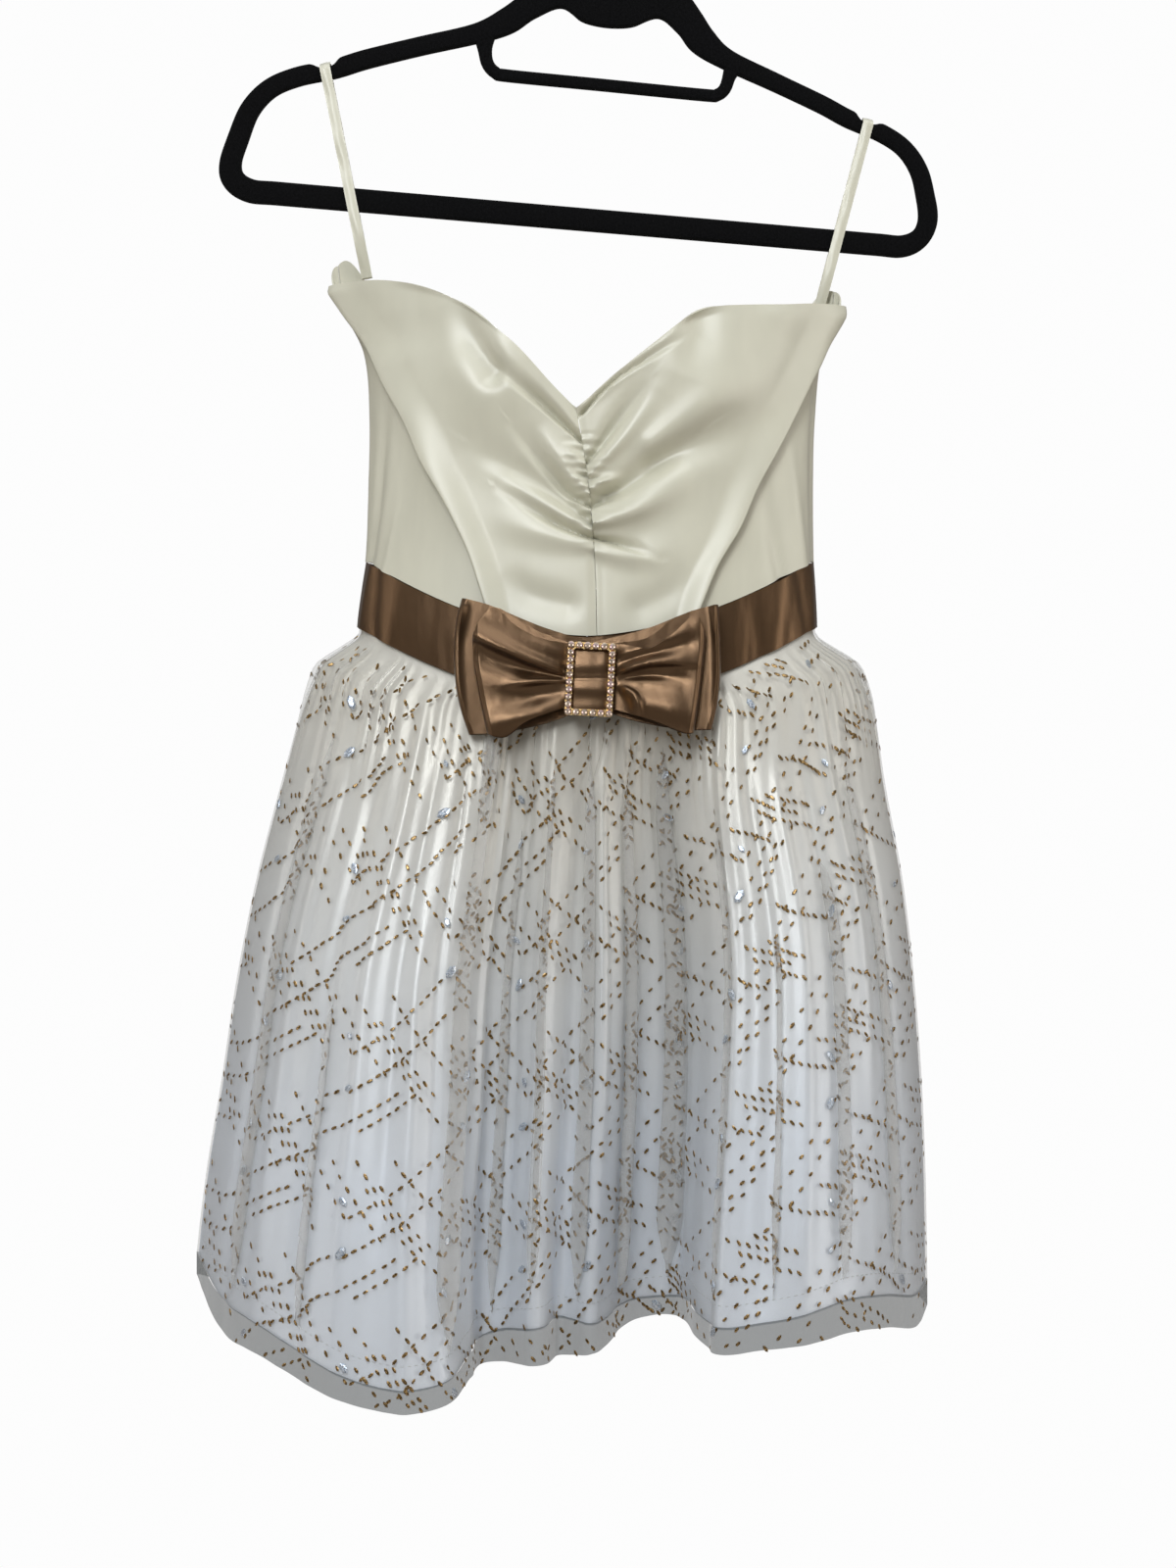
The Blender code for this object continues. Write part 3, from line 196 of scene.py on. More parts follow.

# ---------------------------------------------------------------- creases placed one by one

# Bodice creases seen from the front: x and z of start, middle and end, height (a trough is
# negative), half width at start and end, and how much steeper the left-hand side is.
CREASES_LEFT = (
    (-75.6, -329.5, -87.6, -309.5, -95, -284, -5, 8, 12, 1),
    (-20.7, -371.4, -49.6, -345.5, -80, -322, -3.4, 1.8, 7, 2.6),
    (-22.6, -363, -36, -346.5, -56, -325, 1.5, 2.2, 5, 1),
    (-15.4, -409.4, -33.6, -397.4, -62, -361, -5, 2, 9, 2.4),
    (-16.5, -401.4, -29.6, -385.4, -48, -361, 2.8, 2.6, 9, 1),
    (-14.8, -419.4, -43.6, -399.4, -84, -373, -4, 2.2, 12, 1.6),
    (-14.8, -423.9, -37.6, -410.4, -66, -389, 2.8, 2.2, 8, 1),
    (-14.7, -428.8, -37.6, -419.4, -70, -398, -3.6, 1.8, 7, 2.4),
    (-14.5, -434, -43.6, -425.4, -78, -412, 2, 3, 12, 1),
    (-18.4, -384, -25, -380, -33, -372, 1.8, 1.8, 3.4, 1),
    (-17.3, -392, -24, -389.5, -31, -384, -1.8, 1.5, 2.8, 1),
    (-123.6, -321.5, -107.6, -381.4, -80, -452, 2.6, 14, 13, 1),
    (-30, -468, -52, -462, -70, -447, -1.6, 8, 9, 1),
    (-120, -276, -118, -300, -100, -330, -1.6, 14, 14, 1),
)
CREASES_RIGHT = (
    (-20.7, -354.5, 0.3, -333.5, 42, -308.5, -3.4, 1.6, 4.6, 0.4),
    (-19.6, -348.5, 10, -324, 42, -300, 1.8, 2.6, 5, 1),
    (-17.6, -383.4, -3.7, -366.4, 20, -334, -3.8, 1.8, 7.5, 0.45),
    (-16, -390.4, 2.3, -370.4, 24, -341.5, 2.8, 2.4, 7, 1),
    (-15.5, -398.4, -4.7, -394.2, 4, -392.8, 3.4, 2.2, 3.2, 1),
    (-15, -404.4, -6, -401, 3, -398.5, -2.2, 1.6, 3, 1),
    (-14.6, -409.4, 6.3, -397.4, 52, -364.4, -6.4, 2.2, 13, 0.5),
    (-14, -419.9, 12.3, -410.4, 48, -385.4, 5, 3, 12, 1),
    (-14.2, -427.8, 0.3, -432, 26, -440.4, -4.4, 1.5, 5, 0.45),
    (-13.8, -436, 12, -439.4, 40, -433.4, 2.2, 3, 10, 1),
    (50.3, -288, 52.3, -309.5, 44, -334.5, -4.6, 11, 12, 1),
    (24, -383.4, 56.3, -369.4, 96, -346.5, -3.4, 7, 14, 1),
    (22, -372.4, 56.3, -347.5, 90, -325.5, 2.6, 8, 14, 1),
    (98, -296, 90, -330, 66, -380, 2, 13, 15, 1),
    (14, -470, 30, -462, 46, -446, -1.6, 8, 9, 1),
)
# Plain panels and waist ribbon: angle round the figure (degrees), z, lean (degrees for each 100
# mm up), half width (degrees), half height, height of the crease.
SIDE_CREASES = (
    (-64, -450, 13, 3, 48, 1.9), (-74, -405, 12, 4, 55, -2.4), (-87, -400, 3, 4.5, 70, 1.5),
    (58, -452, -15, 3, 48, -2.2), (69, -425, -14, 4, 55, 2.2), (82, -380, -4, 4.5, 60, -1.6),
    (93, -430, 0, 4, 60, 1),
)
BACK_CREASES = (
    (-120, -400, 10, 5, 40, 1), (-138, -380, 16, 5, 46, -1), (-156, -420, 8, 4.5, 40, 0.9),
    (-170, -390, 3, 3.5, 50, -0.6), (122, -390, -12, 5, 44, 1), (140, -410, -14, 5, 40, -1),
    (158, -400, -8, 5, 46, 0.9), (171, -385, -3, 3.5, 50, -0.6),
)
BAND_CREASES = (
    (-76, -455, 8, 3, 40, 0.9), (-67, -470, -6, 3.5, 40, -1), (-57, -480, 10, 4, 40, 0.7),
    (46, -485, -8, 3.5, 40, -0.7), (56, -470, 12, 4, 40, 1.1), (68, -460, -10, 3.5, 40, -0.9),
    (78, -460, 4, 3.5, 40, 0.7), (130, -460, 6, 5, 40, 0.6), (152, -462, -8, 5, 40, -0.7),
    (-128, -460, 8, 5, 40, -0.6), (-150, -462, -6, 5, 40, 0.7),
)
# Satin skirt folds, from the front or back hem's x: x at hem, drift towards the waist, half
# width, height, and the shares of the length between which it shows.
SATIN_FOLDS_FRONT = (
    (-236, 8, 8, -2, 0.15, 1), (-212, 10, 9, 2.2, 0.10, 0.9), (-186, 12, 9, -2.4, 0.12, 1),
    (-160, 14, 7, 3.2, 0.02, 0.9), (-136, 8, 7, -2.8, 0.06, 0.8), (-120, 4, 5, 2.6, 0.30, 1.1),
    (-104, 0, 6, -2.2, 0.05, 1), (-84, 4, 6, 2.4, 0.05, 0.8), (-66, 2, 6, -2, 0.05, 0.9),
    (-50, 0, 5, 2.4, 0.10, 1), (-34, 2, 5, -2, 0.05, 0.8), (-12, -2, 5, 2.8, 0.02, 0.7),
    (2, -2, 6, -2.2, 0.10, 1), (20, -4, 5, 2, 0.05, 0.7), (36, -4, 6, -2.4, 0.10, 1),
    (58, -4, 7, 3.4, 0.04, 1.1), (82, -6, 8, -2.8, 0.08, 1), (106, -8, 7, 3, 0.10, 1),
    (130, -10, 8, -2.4, 0.12, 1), (152, -10, 7, 2.2, 0.05, 0.7), (172, -10, 6, -1.6, 0.2, 1),
)
SATIN_FOLDS_BACK = (
    (166, -8, 9, -1.8, 0.1, 1), (138, -8, 9, 1.6, 0.1, 0.9), (108, -8, 8, -2, 0.1, 1),
    (60, -2, 8, 1.6, 0.1, 0.8), (30, 0, 8, -1.8, 0.1, 1), (-2, 0, 8, 1.6, 0.05, 0.9),
    (-34, 2, 8, -1.8, 0.1, 1), (-76, 4, 8, 1.6, 0.1, 0.8), (-108, 6, 8, -1.8, 0.1, 1),
    (-146, 8, 9, 1.6, 0.1, 1), (-186, 8, 10, -2, 0.1, 0.9), (-222, 8, 9, 1.4, 0.1, 1),
)
# Pleats in the net that lap over themselves: x at hem, drift towards the waist, half width of
# the lap, how far it stands out, which way its edge points, and where it starts.
NET_LAPS_FRONT = (
    (-226, 10, 6, 1.2, -1, 0.10), (-182, 16, 2, 0.8, 1, 0.45), (-96, 8, 10, 3.4, 1, 0.00),
    (-73, 6, 4, 1.6, 1, 0.16), (-50, 2, 6.5, 1.8, -1, 0.04), (-22, 0, 7, 2, 1, 0.06),
    (2, -2, 4, 1.6, -1, 0.10), (32, -4, 8, 2.4, -1, 0.03), (56, -4, 4, 1.6, -1, 0.18),
    (88, -8, 2.4, 1, 1, 0.36), (130, -10, 3, 1, -1, 0.28), (164, -12, 5, 1.2, 1, 0.15),
)
NET_LAPS_BACK = (
    (158, -8, 6, 1.6, 1, 0.2), (116, -8, 7, 2.2, -1, 0.1), (80, -4, 8, 2.6, 1, 0.05),
    (46, -2, 7, 2.2, -1, 0.1), (10, 0, 6, 2, 1, 0.15), (-26, 0, 7, 2.2, -1, 0.1),
    (-62, 2, 8, 2.6, 1, 0.05), (-100, 4, 6, 2, -1, 0.1), (-144, 6, 6, 1.8, 1, 0.2),
    (-196, 8, 6, 1.6, -1, 0.25),
)
# Folds that fan out from the knot over a front bow loop: x and height of start, middle and end
# from the bow's middle, then as for the bodice.
BOW_FOLDS_LEFT = (
    (-14, 3, -56, 19, -104, 44, 6, 3, 13, 5),
    (-14, 1, -48, 9, -84, 20, -3.4, 2, 8, 1),
    (-14, -0.6, -34, -1, -54, -3.5, 3.2, 1.5, 4.5, 1.8),
    (-14, -6, -36, -10, -60, -12, -2.4, 2.5, 8, 1),
    (-17, -16, -43, -22, -80, -28, 3.4, 6, 9, 1),
    (-16, 15, -36, 22, -60, 34, 1.6, 3, 6, 1),
)
BOW_FOLDS_RIGHT = (
    (12, 2.6, 34, 9.6, 66, 9, 5.6, 2.4, 9, 0.2),
    (12, 0.6, 36, 3.4, 60, -1, -3.2, 1.8, 5, 1),
    (12, 9, 36, 16, 66, 24, -2.2, 2, 5, 1),
    (12, -3, 24.4, -8.9, 29, -28, 4.2, 2.2, 6, 1.8),
    (14, 15, 36, 20.5, 66, 34, 2.4, 3, 5, 1),
    (30, -13, 47.4, -17, 72, -24, 2.4, 7, 10, 1),
)
REAR_FOLDS_LEFT = ((-77.0, 44.0, -81.0, 8.0, -70.0, -64.0, 2.6, 3.0, 3.0, 1.0),)
REAR_FOLDS_RIGHT = ((73.0, 44.0, 75.0, 8.0, 70.0, -64.0, 2.6, 3.0, 3.0, 1.0),)

# ---------------------------------------------------------------- glitter chart

# One repeat of the pattern, charted along two directions, up to the right and down to the right.
RISING = math.radians(43)
FALLING = math.radians(-52)
FIRST_STEP = (44.6, 59.0)
SECOND_STEP = (-57.7, 72.4)
# start and step in millimetres along the rising and the falling direction, dashes, and whether
# they lie along the rising direction
GOLD_STROKES = (
    (0.0, -71.5, 0.0, 7.7, 10, False), (10.8, -27.7, 0.0, 7.4, 7, False),
    (20.6, -7.7, 0.0, 8.0, 9, False), (24.6, -22.4, 0.0, 8.0, 8, False),
    (28.6, -4.9, 0.0, 8.0, 7, False),
    (3.2, 0.0, 6.6, 0.0, 3, True), (31.7, 0.0, 6.8, 0.0, 8, True),
    (-12.9, 15.9, 6.6, 0.0, 20, True), (-20.8, 36.0, 6.6, 0.0, 7, True),
)
SILVER_SPOTS = ((4.4, -8.7, False), (88.0, 0.0, True))
# how much the rows climb to the right where the cloth hangs from the dipped waist
CLIMB_FRONT = (0.8, -0.12, 0.16)
CLIMB_BACK = (0.0, -0.3, 0.3)
SKIRT_LONG = 0.43
PATTERN_AT_WAIST = 0.80
PATTERN_OPEN_BY = 0.6
PATTERN_ROW = 0.72
PATTERN_WIDER = 1.08
HEM_SHARE = 0.036
DEPTH_COUNTS = 0.35
# repeats laid out each way, shares down and across that the glitter keeps to, and how far it
# stands off the net
REPEATS = 16
FIRST_DASH = 0.012
LAST_DASH = 1.96
SEAM_FREE = 0.004
GLUE = 0.06 * MM
GLITTER_SEED = 7


# ---------------------------------------------------------------- sizes and colours to change

def colour_property(name, description, default):
    return FloatVectorProperty(name=name, description=description, default=default, size=3,
                               min=0.0, max=1.0, subtype="COLOR")


def length_property(name, description, millimetres):
    return FloatProperty(name=name, description=description, default=millimetres * MM, min=0.0,
                         unit="LENGTH", subtype="DISTANCE", precision=5)


def share_property(name, description, default):
    return FloatProperty(name=name, description=description, default=default, min=0.05, max=1.0,
                         subtype="FACTOR")


def power_property(name, description, default):
    return FloatProperty(name=name, description=description, default=default, min=0.0,
                         unit="POWER")


class ClothSettings(bpy.types.PropertyGroup):
    """Colours and thickness of the dress's cloths."""

    ivory: colour_property("Ivory satin", "Colour of the bodice", (0.59, 0.575, 0.465))
    bronze: colour_property("Bronze satin", "Colour of the ribbon and bow", (0.125, 0.072, 0.036))
    # painted light: the skirt's cool white stands for cool light at the hem, and its colour at the
    # waist for warm light from above
    white: colour_property("White satin", "Colour of the skirt under its net", (0.76, 0.82, 0.91))
    painted_warm_light_top: colour_property("White satin at the waist", "Its colour under the gathered net",
                               (0.69, 0.66, 0.575))
    net: colour_property("Net", "Colour of the overskirt's threads", (0.60, 0.595, 0.57))
    net_cover: share_property("Net cover", "Share of the view the net's threads fill", 0.28)
    # painted shade: the hem net's dark colour and dense cover stand for the shade seen through the
    # doubled net below the satin
    shaded_hem_net: colour_property("Net at the hem", "Colour of the net where no satin lies behind it",
                             (0.18, 0.195, 0.20))
    hem_cover: share_property("Hem cover", "Share the doubled net of the hem fills", 0.82)
    satin_thick: length_property("Satin", "Thickness of the bodice's satin", 1.2)
    lining_thick: length_property("Lining", "Thickness of the skirt's satin", 0.6)
    ribbon_thick: length_property("Ribbon", "Thickness of the bow's ribbon", 0.7)


class TrimSettings(bpy.types.PropertyGroup):
    """Glitter, stones and stitches."""

    dash_long: length_property("Dash length", "Length of a glitter dash", 4.3)
    dash_wide: length_property("Dash width", "Width of a glitter dash", 2.0)
    dash_thick: length_property("Dash height", "Height of the glued glitter", 0.28)
    stone_wide: length_property("Stone", "Diameter of a stone on the buckle", 4.1)
    long_side: IntProperty(name="Stones down", description="Stones along a long side", default=10,
                           min=3)
    short_side: IntProperty(name="Stones across", description="Stones along a short side",
                            default=6, min=3)
    stitch_long: length_property("Stitch", "Length of one hem stitch", 2.6)
    gold: colour_property("Gold glitter", "Colour of the glitter dashes", (0.165, 0.105, 0.042))
    silver: colour_property("Silver glitter", "Colour of the glitter spots", (0.56, 0.66, 0.80))
    plate: colour_property("Gold plate", "Colour of the buckle's metal", (0.60, 0.42, 0.19))
    stone: colour_property("Stones", "Colour of the stones", (0.78, 0.62, 0.50))


class StageSettings(bpy.types.PropertyGroup):
    """Lights and floor."""

    key_power: power_property("Key light", "Power of the main soft light", 27.0)
    side_power: power_property("Side lights", "Power of each tall side light", 4.0)
    fill: FloatProperty(name="Fill", description="Strength of the light from all round",
                        default=0.62, min=0.0)
    floor_z: FloatProperty(name="Floor", description="Height of the floor", default=-1.35,
                           unit="LENGTH", subtype="DISTANCE")


def looks():
    return bpy.context.scene.dress_cloth


def trims():
    return bpy.context.scene.dress_trim


# ---------------------------------------------------------------- curves and grids

def blend(a, b, share):
    return a + (b - a) * share


def smooth_step(low, high, value):
    share = np.clip((value - low) / (high - low), 0.0, 1.0)
    return share * share * (3 - 2 * share)


def bump_of(off):
    return np.exp(-off * off)


def inset(share, margin):
    """Nothing at both ends of a share, and one from a margin inwards."""
    return np.minimum(1.0, np.minimum(share, 1 - share) / margin)


def stacked(*parts):
    """Points or pairs from arrays or numbers that fit together."""
    return np.stack(np.broadcast_arrays(*parts), axis=-1)


def unit(vectors):
    return vectors / np.maximum(np.linalg.norm(vectors, axis=-1, keepdims=True), 1e-12)


def walked(*steps):
    """Distance from the start after each step, given by its parts."""
    return np.concatenate([[0.0], np.cumsum(np.sqrt(sum(step ** 2 for step in steps)))])


def table_curve(rows):
    """A smooth curve through a table in millimetres, read by its first column in metres."""
    rows = np.array(sorted(rows), float) * MM
    keys, values = rows[:, 0], rows[:, 1:]
    last = len(keys) - 1

    def read(key):
        key = np.clip(key, keys[0], keys[-1])
        place = np.clip(np.searchsorted(keys, key) - 1, 0, last - 1)
        span = (keys[place + 1] - keys[place])[..., None]
        share = (key - keys[place])[..., None] / span
        slopes = []
        for i in (place, place + 1):
            low, high = np.maximum(i - 1, 0), np.minimum(i + 1, last)
            slopes.append((values[high] - values[low]) / (keys[high] - keys[low])[..., None] * span)
        a, b = values[place], values[place + 1]
        found = (a + slopes[0] * share + (3 * (b - a) - 2 * slopes[0] - slopes[1]) * share ** 2
                 + (2 * (a - b) + slopes[0] + slopes[1]) * share ** 3)
        return [found[..., k] for k in range(found.shape[-1])]

    return read


class Line:
    """A smooth line through points, read by its share of length."""

    def __init__(self, points, measured=2, steps=20):
        points = np.array(points, float)
        padded = np.concatenate([points[:1], points, points[-1:]])
        t = (np.arange(steps) / steps)[:, None]
        dense = []
        for i in range(len(points) - 1):
            a, b, c, d = padded[i:i + 4]
            dense.append(0.5 * (2 * b + (c - a) * t + (2 * a - 5 * b + 4 * c - d) * t * t
                                + (3 * b - a - 3 * c + d) * t ** 3))
        self.points = np.concatenate([*dense, points[-1:]])
        self.marks = walked(*np.diff(self.points[:, :measured], axis=0).T)
        self.length = self.marks[-1]

    def at(self, share):
        """Each coordinate at the shares, as a list of arrays."""
        target = np.clip(share, 0.0, 1.0) * self.length
        return [np.interp(target, self.marks, column) for column in self.points.T]


def body_normals(points):
    """Unit normals of a grid of points, turned away from the dress's inside."""
    normal = unit(np.cross(np.gradient(points, axis=1), np.gradient(points, axis=0)))
    away = (points - (INSIDE_X, 0.0, 0.0)) * LEVEL
    if abs(points[..., 1].mean()) < NEAR_SIDE:
        away[..., 1] = 0.0
    return normal if (normal * away).sum() > 0 else -normal


def cells(index):
    """Four-cornered faces between neighbours in a grid of point numbers."""
    return np.stack([index[:-1, :-1], index[:-1, 1:], index[1:, 1:], index[1:, :-1]],
                    axis=-1).reshape(-1, 4)


def numbered(points):
    return np.arange(points.shape[0] * points.shape[1]).reshape(points.shape[:2])


def against(points, faces, away):
    """Whether faces look against the directions given for their points."""
    a, b, d = (points.reshape(-1, 3)[faces[:, k]] for k in (0, 1, 3))
    return (np.cross(b - a, d - a) * away.reshape(-1, 3)[faces[:, 0]]).sum() < 0


def tube_faces(points, closed=False):
    """Faces of a tube of rings, closed on itself or with a face over each end."""
    index = numbered(points)
    around = np.concatenate([index, index[:, :1]], axis=1)
    if closed:
        return cells(np.concatenate([around, around[:1]])).tolist()
    return cells(around).tolist() + [index[0, ::-1].tolist(), index[-1].tolist()]


def placed(name, data):
    made = bpy.data.objects.new(name, data)
    bpy.context.scene.collection.objects.link(made)
    return made


def mesh_object(name, points, faces, material, sharp, uv=None):
    """A smooth piece with its cloth map; without a map its faces are turned outwards."""
    mesh = bpy.data.meshes.new(name)
    mesh.from_pydata(points.reshape(-1, 3).tolist(), [], faces)
    if uv is None:
        shape = bmesh.new()
        shape.from_mesh(mesh)
        bmesh.ops.recalc_face_normals(shape, faces=shape.faces)
        shape.to_mesh(mesh)
        shape.free()
    else:
        corners = np.empty(len(mesh.loops), np.int32)
        mesh.loops.foreach_get("vertex_index", corners)
        layer = mesh.uv_layers.new(name="cloth")
        layer.data.foreach_set("uv", uv.reshape(-1, 2)[corners].reshape(-1).astype(np.float32))
    mesh.shade_smooth()
    mesh.set_sharp_from_angle(angle=math.radians(sharp))
    mesh.materials.append(material)
    mesh.validate()
    return placed(name, mesh)


def cloth(name, outer, inner, material, uv):
    """A thin closed shell: an outer grid of points, an inner one under it, and a rim."""
    index = numbered(outer)
    front = cells(index)
    rim = np.concatenate([index[0, :], index[1:, -1], index[-1, -2::-1], index[-2:0:-1, 0]])
    if against(outer, front, outer - inner):
        front, rim = front[:, ::-1], rim[::-1]
    following = np.roll(rim, -1)
    side = np.stack([following, rim, rim + index.size, following + index.size], axis=-1)
    faces = np.concatenate([front, front[:, ::-1] + index.size, side]).tolist()
    return mesh_object(name, np.stack([outer, inner]), faces, material, 55, np.stack([uv, uv]))


def single_sheet(name, points, material, uv):
    """One layer of cloth, its faces turned out."""
    faces = cells(numbered(points))
    if against(points, faces, points * LEVEL):
        faces = faces[:, ::-1]
    return mesh_object(name, points, faces.tolist(), material, 180, uv)


def dressed(made, slot, *nodes):
    """Rides with the dress and stands for its solids; the slot is not used."""
    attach(made, BODY)
    if nodes:
        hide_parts(*nodes)
    return made


# ---------------------------------------------------------------- finishes

def socket_of(sockets, name):
    return next(s for s in sockets if s.name == name and s.enabled)


def add_node(tree, kind, inputs=(), **settings):
    """A node with its settings, and for each input a plain value or a socket to link."""
    node = tree.nodes.new(kind)
    for name, value in settings.items():
        setattr(node, name, value)
    for name, value in dict(inputs).items():
        socket = node.inputs[name] if isinstance(name, int) else socket_of(node.inputs, name)
        if isinstance(value, bpy.types.NodeSocket):
            tree.links.new(value, socket)
        else:
            socket.default_value = value
    return node


def to_shader(tree, output, name):
    tree.links.new(output, tree.nodes["Principled BSDF"].inputs[name])


def new_material(name, colour, roughness, metallic=0.0, **shader_values):
    """A Principled finish with its plain values set on the shader's own sockets."""
    made = bpy.data.materials.new(name)
    made.use_nodes = True
    sockets = made.node_tree.nodes["Principled BSDF"].inputs
    values = {"Base_Color": (*colour, 1.0), "Roughness": roughness, "Metallic": metallic}
    for title, value in {**values, **shader_values}.items():
        sockets[title.replace("_", " ")].default_value = value
    made.diffuse_color = (*colour, 1.0)
    return made


def coordinates(tree, scale, uv):
    """The piece's own cloth map, or Object coordinates, at a number of units a metre."""
    if uv:
        source = add_node(tree, "ShaderNodeUVMap", uv_map="cloth").outputs["UV"]
    else:
        source = add_node(tree, "ShaderNodeTexCoord").outputs["Object"]
    scale = scale if isinstance(scale, tuple) else (scale, scale, scale)
    return add_node(tree, "ShaderNodeMapping", {"Vector": source, "Scale": scale}).outputs["Vector"]


def noise(tree, scale, uv, detail=2.0):
    inputs = {"Vector": coordinates(tree, scale, uv), "Scale": 1.0, "Detail": detail}
    return add_node(tree, "ShaderNodeTexNoise", inputs).outputs["Fac"]


def ramp(tree, factor, stops):
    node = add_node(tree, "ShaderNodeValToRGB", {"Fac": factor})
    elements = node.color_ramp.elements
    while len(elements) < len(stops):
        elements.new(0.5)
    for element, (place, colour) in zip(elements, stops):
        element.position = place
        element.color = (*colour, 1.0)
    return node.outputs["Color"]


def bump(tree, height, strength, distance, over=None):
    """Raises the surface by a height, over an earlier bump if there is one."""
    inputs = {"Height": height, "Strength": strength, "Distance": distance}
    if over is not None:
        inputs["Normal"] = over
    normal = add_node(tree, "ShaderNodeBump", inputs).outputs["Normal"]
    to_shader(tree, normal, "Normal")
    return normal


def tinted(colour, factor):
    return tuple(min(1.0, c * factor) for c in colour)


def vary_colour(tree, colour, scale, spread, uv):
    """Soft changes of shade over the cloth."""
    shades = ((0.3, tinted(colour, 1 - spread)), (0.7, tinted(colour, 1 + spread)))
    to_shader(tree, ramp(tree, noise(tree, scale, uv), shades), "Base Color")


def satin(name, colour, roughness, slub, sheen, uv=True, metallic=0.0, dent=0.0, stops=None):
    """Satin: long fine warp floats that streak the light, and soft dents in the cloth.

    Stops are shades down the skirt's own length, a painted light tint, in place of a slightly
    uneven colour.
    """
    made = new_material(name, colour, roughness, metallic, Specular_IOR_Level=0.75,
                        Anisotropic=0.45, Sheen_Weight=sheen, Sheen_Roughness=0.35)
    tree = made.node_tree
    if stops:
        down = {"Vector": coordinates(tree, (1.0, -1 / SKIRT_LONG, 1.0), True)}
        down = add_node(tree, "ShaderNodeSeparateXYZ", down).outputs["Y"]
        to_shader(tree, ramp(tree, down, stops), "Base Color")
    else:
        vary_colour(tree, colour, (60.0, 25.0, 60.0), 0.03, uv)
    dents = bump(tree, noise(tree, (55.0, 55.0, 14.0), False), 1.0, dent) if dent else None
    bump(tree, noise(tree, (5200.0, 900.0, 5200.0), uv, 3.0), slub, 0.12 * MM, dents)
    return made


def net_of(name, colour, cover):
    """Sheer net: threads that cover a share of what lies behind them."""
    made = new_material(name, colour, 0.6, Sheen_Weight=0.3, Alpha=cover)
    vary_colour(made.node_tree, colour, 900.0, 0.14, True)
    bump(made.node_tree, noise(made.node_tree, 2600.0, True), 0.35, 0.2 * MM)
    return made


def glitter(name, stops):
    """Glued glitter: small flakes, each tilted its own way and also painted darker or brighter, a
    painted glint.
    """
    made = new_material(name, stops[1][1], 0.30, 0.75)
    tree = made.node_tree
    flakes = add_node(tree, "ShaderNodeTexVoronoi",
                      {"Vector": coordinates(tree, 2600.0, False), "Scale": 1.0})
    split = add_node(tree, "ShaderNodeSeparateColor", {"Color": flakes.outputs["Color"]})
    # painted glints: each flake takes a shade from dark to near white, standing for the light it
    # catches
    to_shader(tree, ramp(tree, split.outputs["Red"], stops), "Base Color")
    bump(tree, split.outputs["Green"], 0.9, 0.25 * MM)
    return made


def metal(name, colour, roughness, scale, strength=0.1, metallic=1.0, **shader_values):
    """Metal with a faint grain."""
    made = new_material(name, colour, roughness, metallic, **shader_values)
    bump(made.node_tree, noise(made.node_tree, scale, False), strength, 0.1 * MM)
    return made


def finish(name):
    """Makes a material the first time that it is asked for, and finds it again later."""
    return lambda make: lambda: bpy.data.materials.get(name) or make(name)


@finish("ivory satin")
def ivory_satin(name):
    return satin(name, looks().ivory, 0.37, 0.20, 0.15)


@finish("bronze satin")
def bronze_satin(name):
    return satin(name, looks().bronze, 0.28, 0.55, 0.05, metallic=0.80, dent=1.5 * MM)


@finish("white satin")
def white_satin(name):
    # painted light: cream at the waist and a cool white at the hem, a tint that stands for warm
    # light from above and cool light from below
    stops = ((0.05, tuple(looks().painted_warm_light_top)), (0.75, tuple(looks().white)))
    return satin(name, looks().white, 0.34, 0.35, 0.08, metallic=0.22, stops=stops)


@finish("white thread")
def thread(name):
    return satin(name, (0.50, 0.52, 0.54), 0.6, 0.3, 0.0, uv=False)


@finish("glitter net")
def glitter_net(name):
    return net_of(name, tuple(looks().net), looks().net_cover)


@finish("net at the hem")
def shaded_hem_net(name):
    # painted shade: a dark colour and dense cover that stand for the shade seen through the doubled
    # net where it hangs free below the satin
    return net_of(name, tuple(looks().shaded_hem_net), looks().hem_cover)


@finish("gold glitter")
def gold_glitter(name):
    # the stops run from a painted dark flake through the gold to a painted glint
    gold = tuple(trims().gold)
    return glitter(name, ((0.15, tinted(gold, 0.45)), (0.55, gold), (0.9, tinted(gold, 3.6))))


@finish("silver glitter")
def silver_glitter(name):
    # the stops run from a painted dark flake through the silver to a painted glint
    silver = tuple(trims().silver)
    return glitter(name, ((0.1, tinted(silver, 0.35)), (0.5, silver), (0.9, (0.95, 0.97, 1.0))))


@finish("gold plate")
def gold_plate(name):
    return metal(name, trims().plate, 0.24, 900.0, 0.12)


@finish("hook steel")
def hook_steel(name):
    return metal(name, (0.60, 0.60, 0.61), 0.26, (1500.0, 1500.0, 300.0))


@finish("ivory lacquer")
def zip_metal(name):
    return metal(name, (0.76, 0.72, 0.64), 0.35, 1200.0, metallic=0.3, Coat_Weight=0.4)


@finish("cut stone")
def cut_stone(name):
    # facets whose tint wanders between champagne and rose
    made = new_material(name, trims().stone, 0.08, 0.75, Coat_Weight=1.0, Coat_Roughness=0.03)
    tree, stone = made.node_tree, tuple(trims().stone)
    stops = ((0.35, tinted(stone, 0.5)), (0.5, stone), (0.64, (0.80, 0.58, 0.60)))
    to_shader(tree, ramp(tree, noise(tree, 420.0, False, 1.0), stops), "Base Color")
    return made


@finish("black flock")
def flock(name):
    # short dense pile
    made = new_material(name, BLACK, 0.95, Sheen_Weight=0.03, Sheen_Roughness=0.6,
                        Specular_IOR_Level=0.06)
    vary_colour(made.node_tree, BLACK, 700.0, 0.5, False)
    bump(made.node_tree, noise(made.node_tree, 2400.0, False, 3.0), 0.8, 0.35 * MM)
    return made


# ---------------------------------------------------------------- figure

read_figure = table_curve(FIGURE)
read_outline = table_curve(SKIRT_OUTLINE)


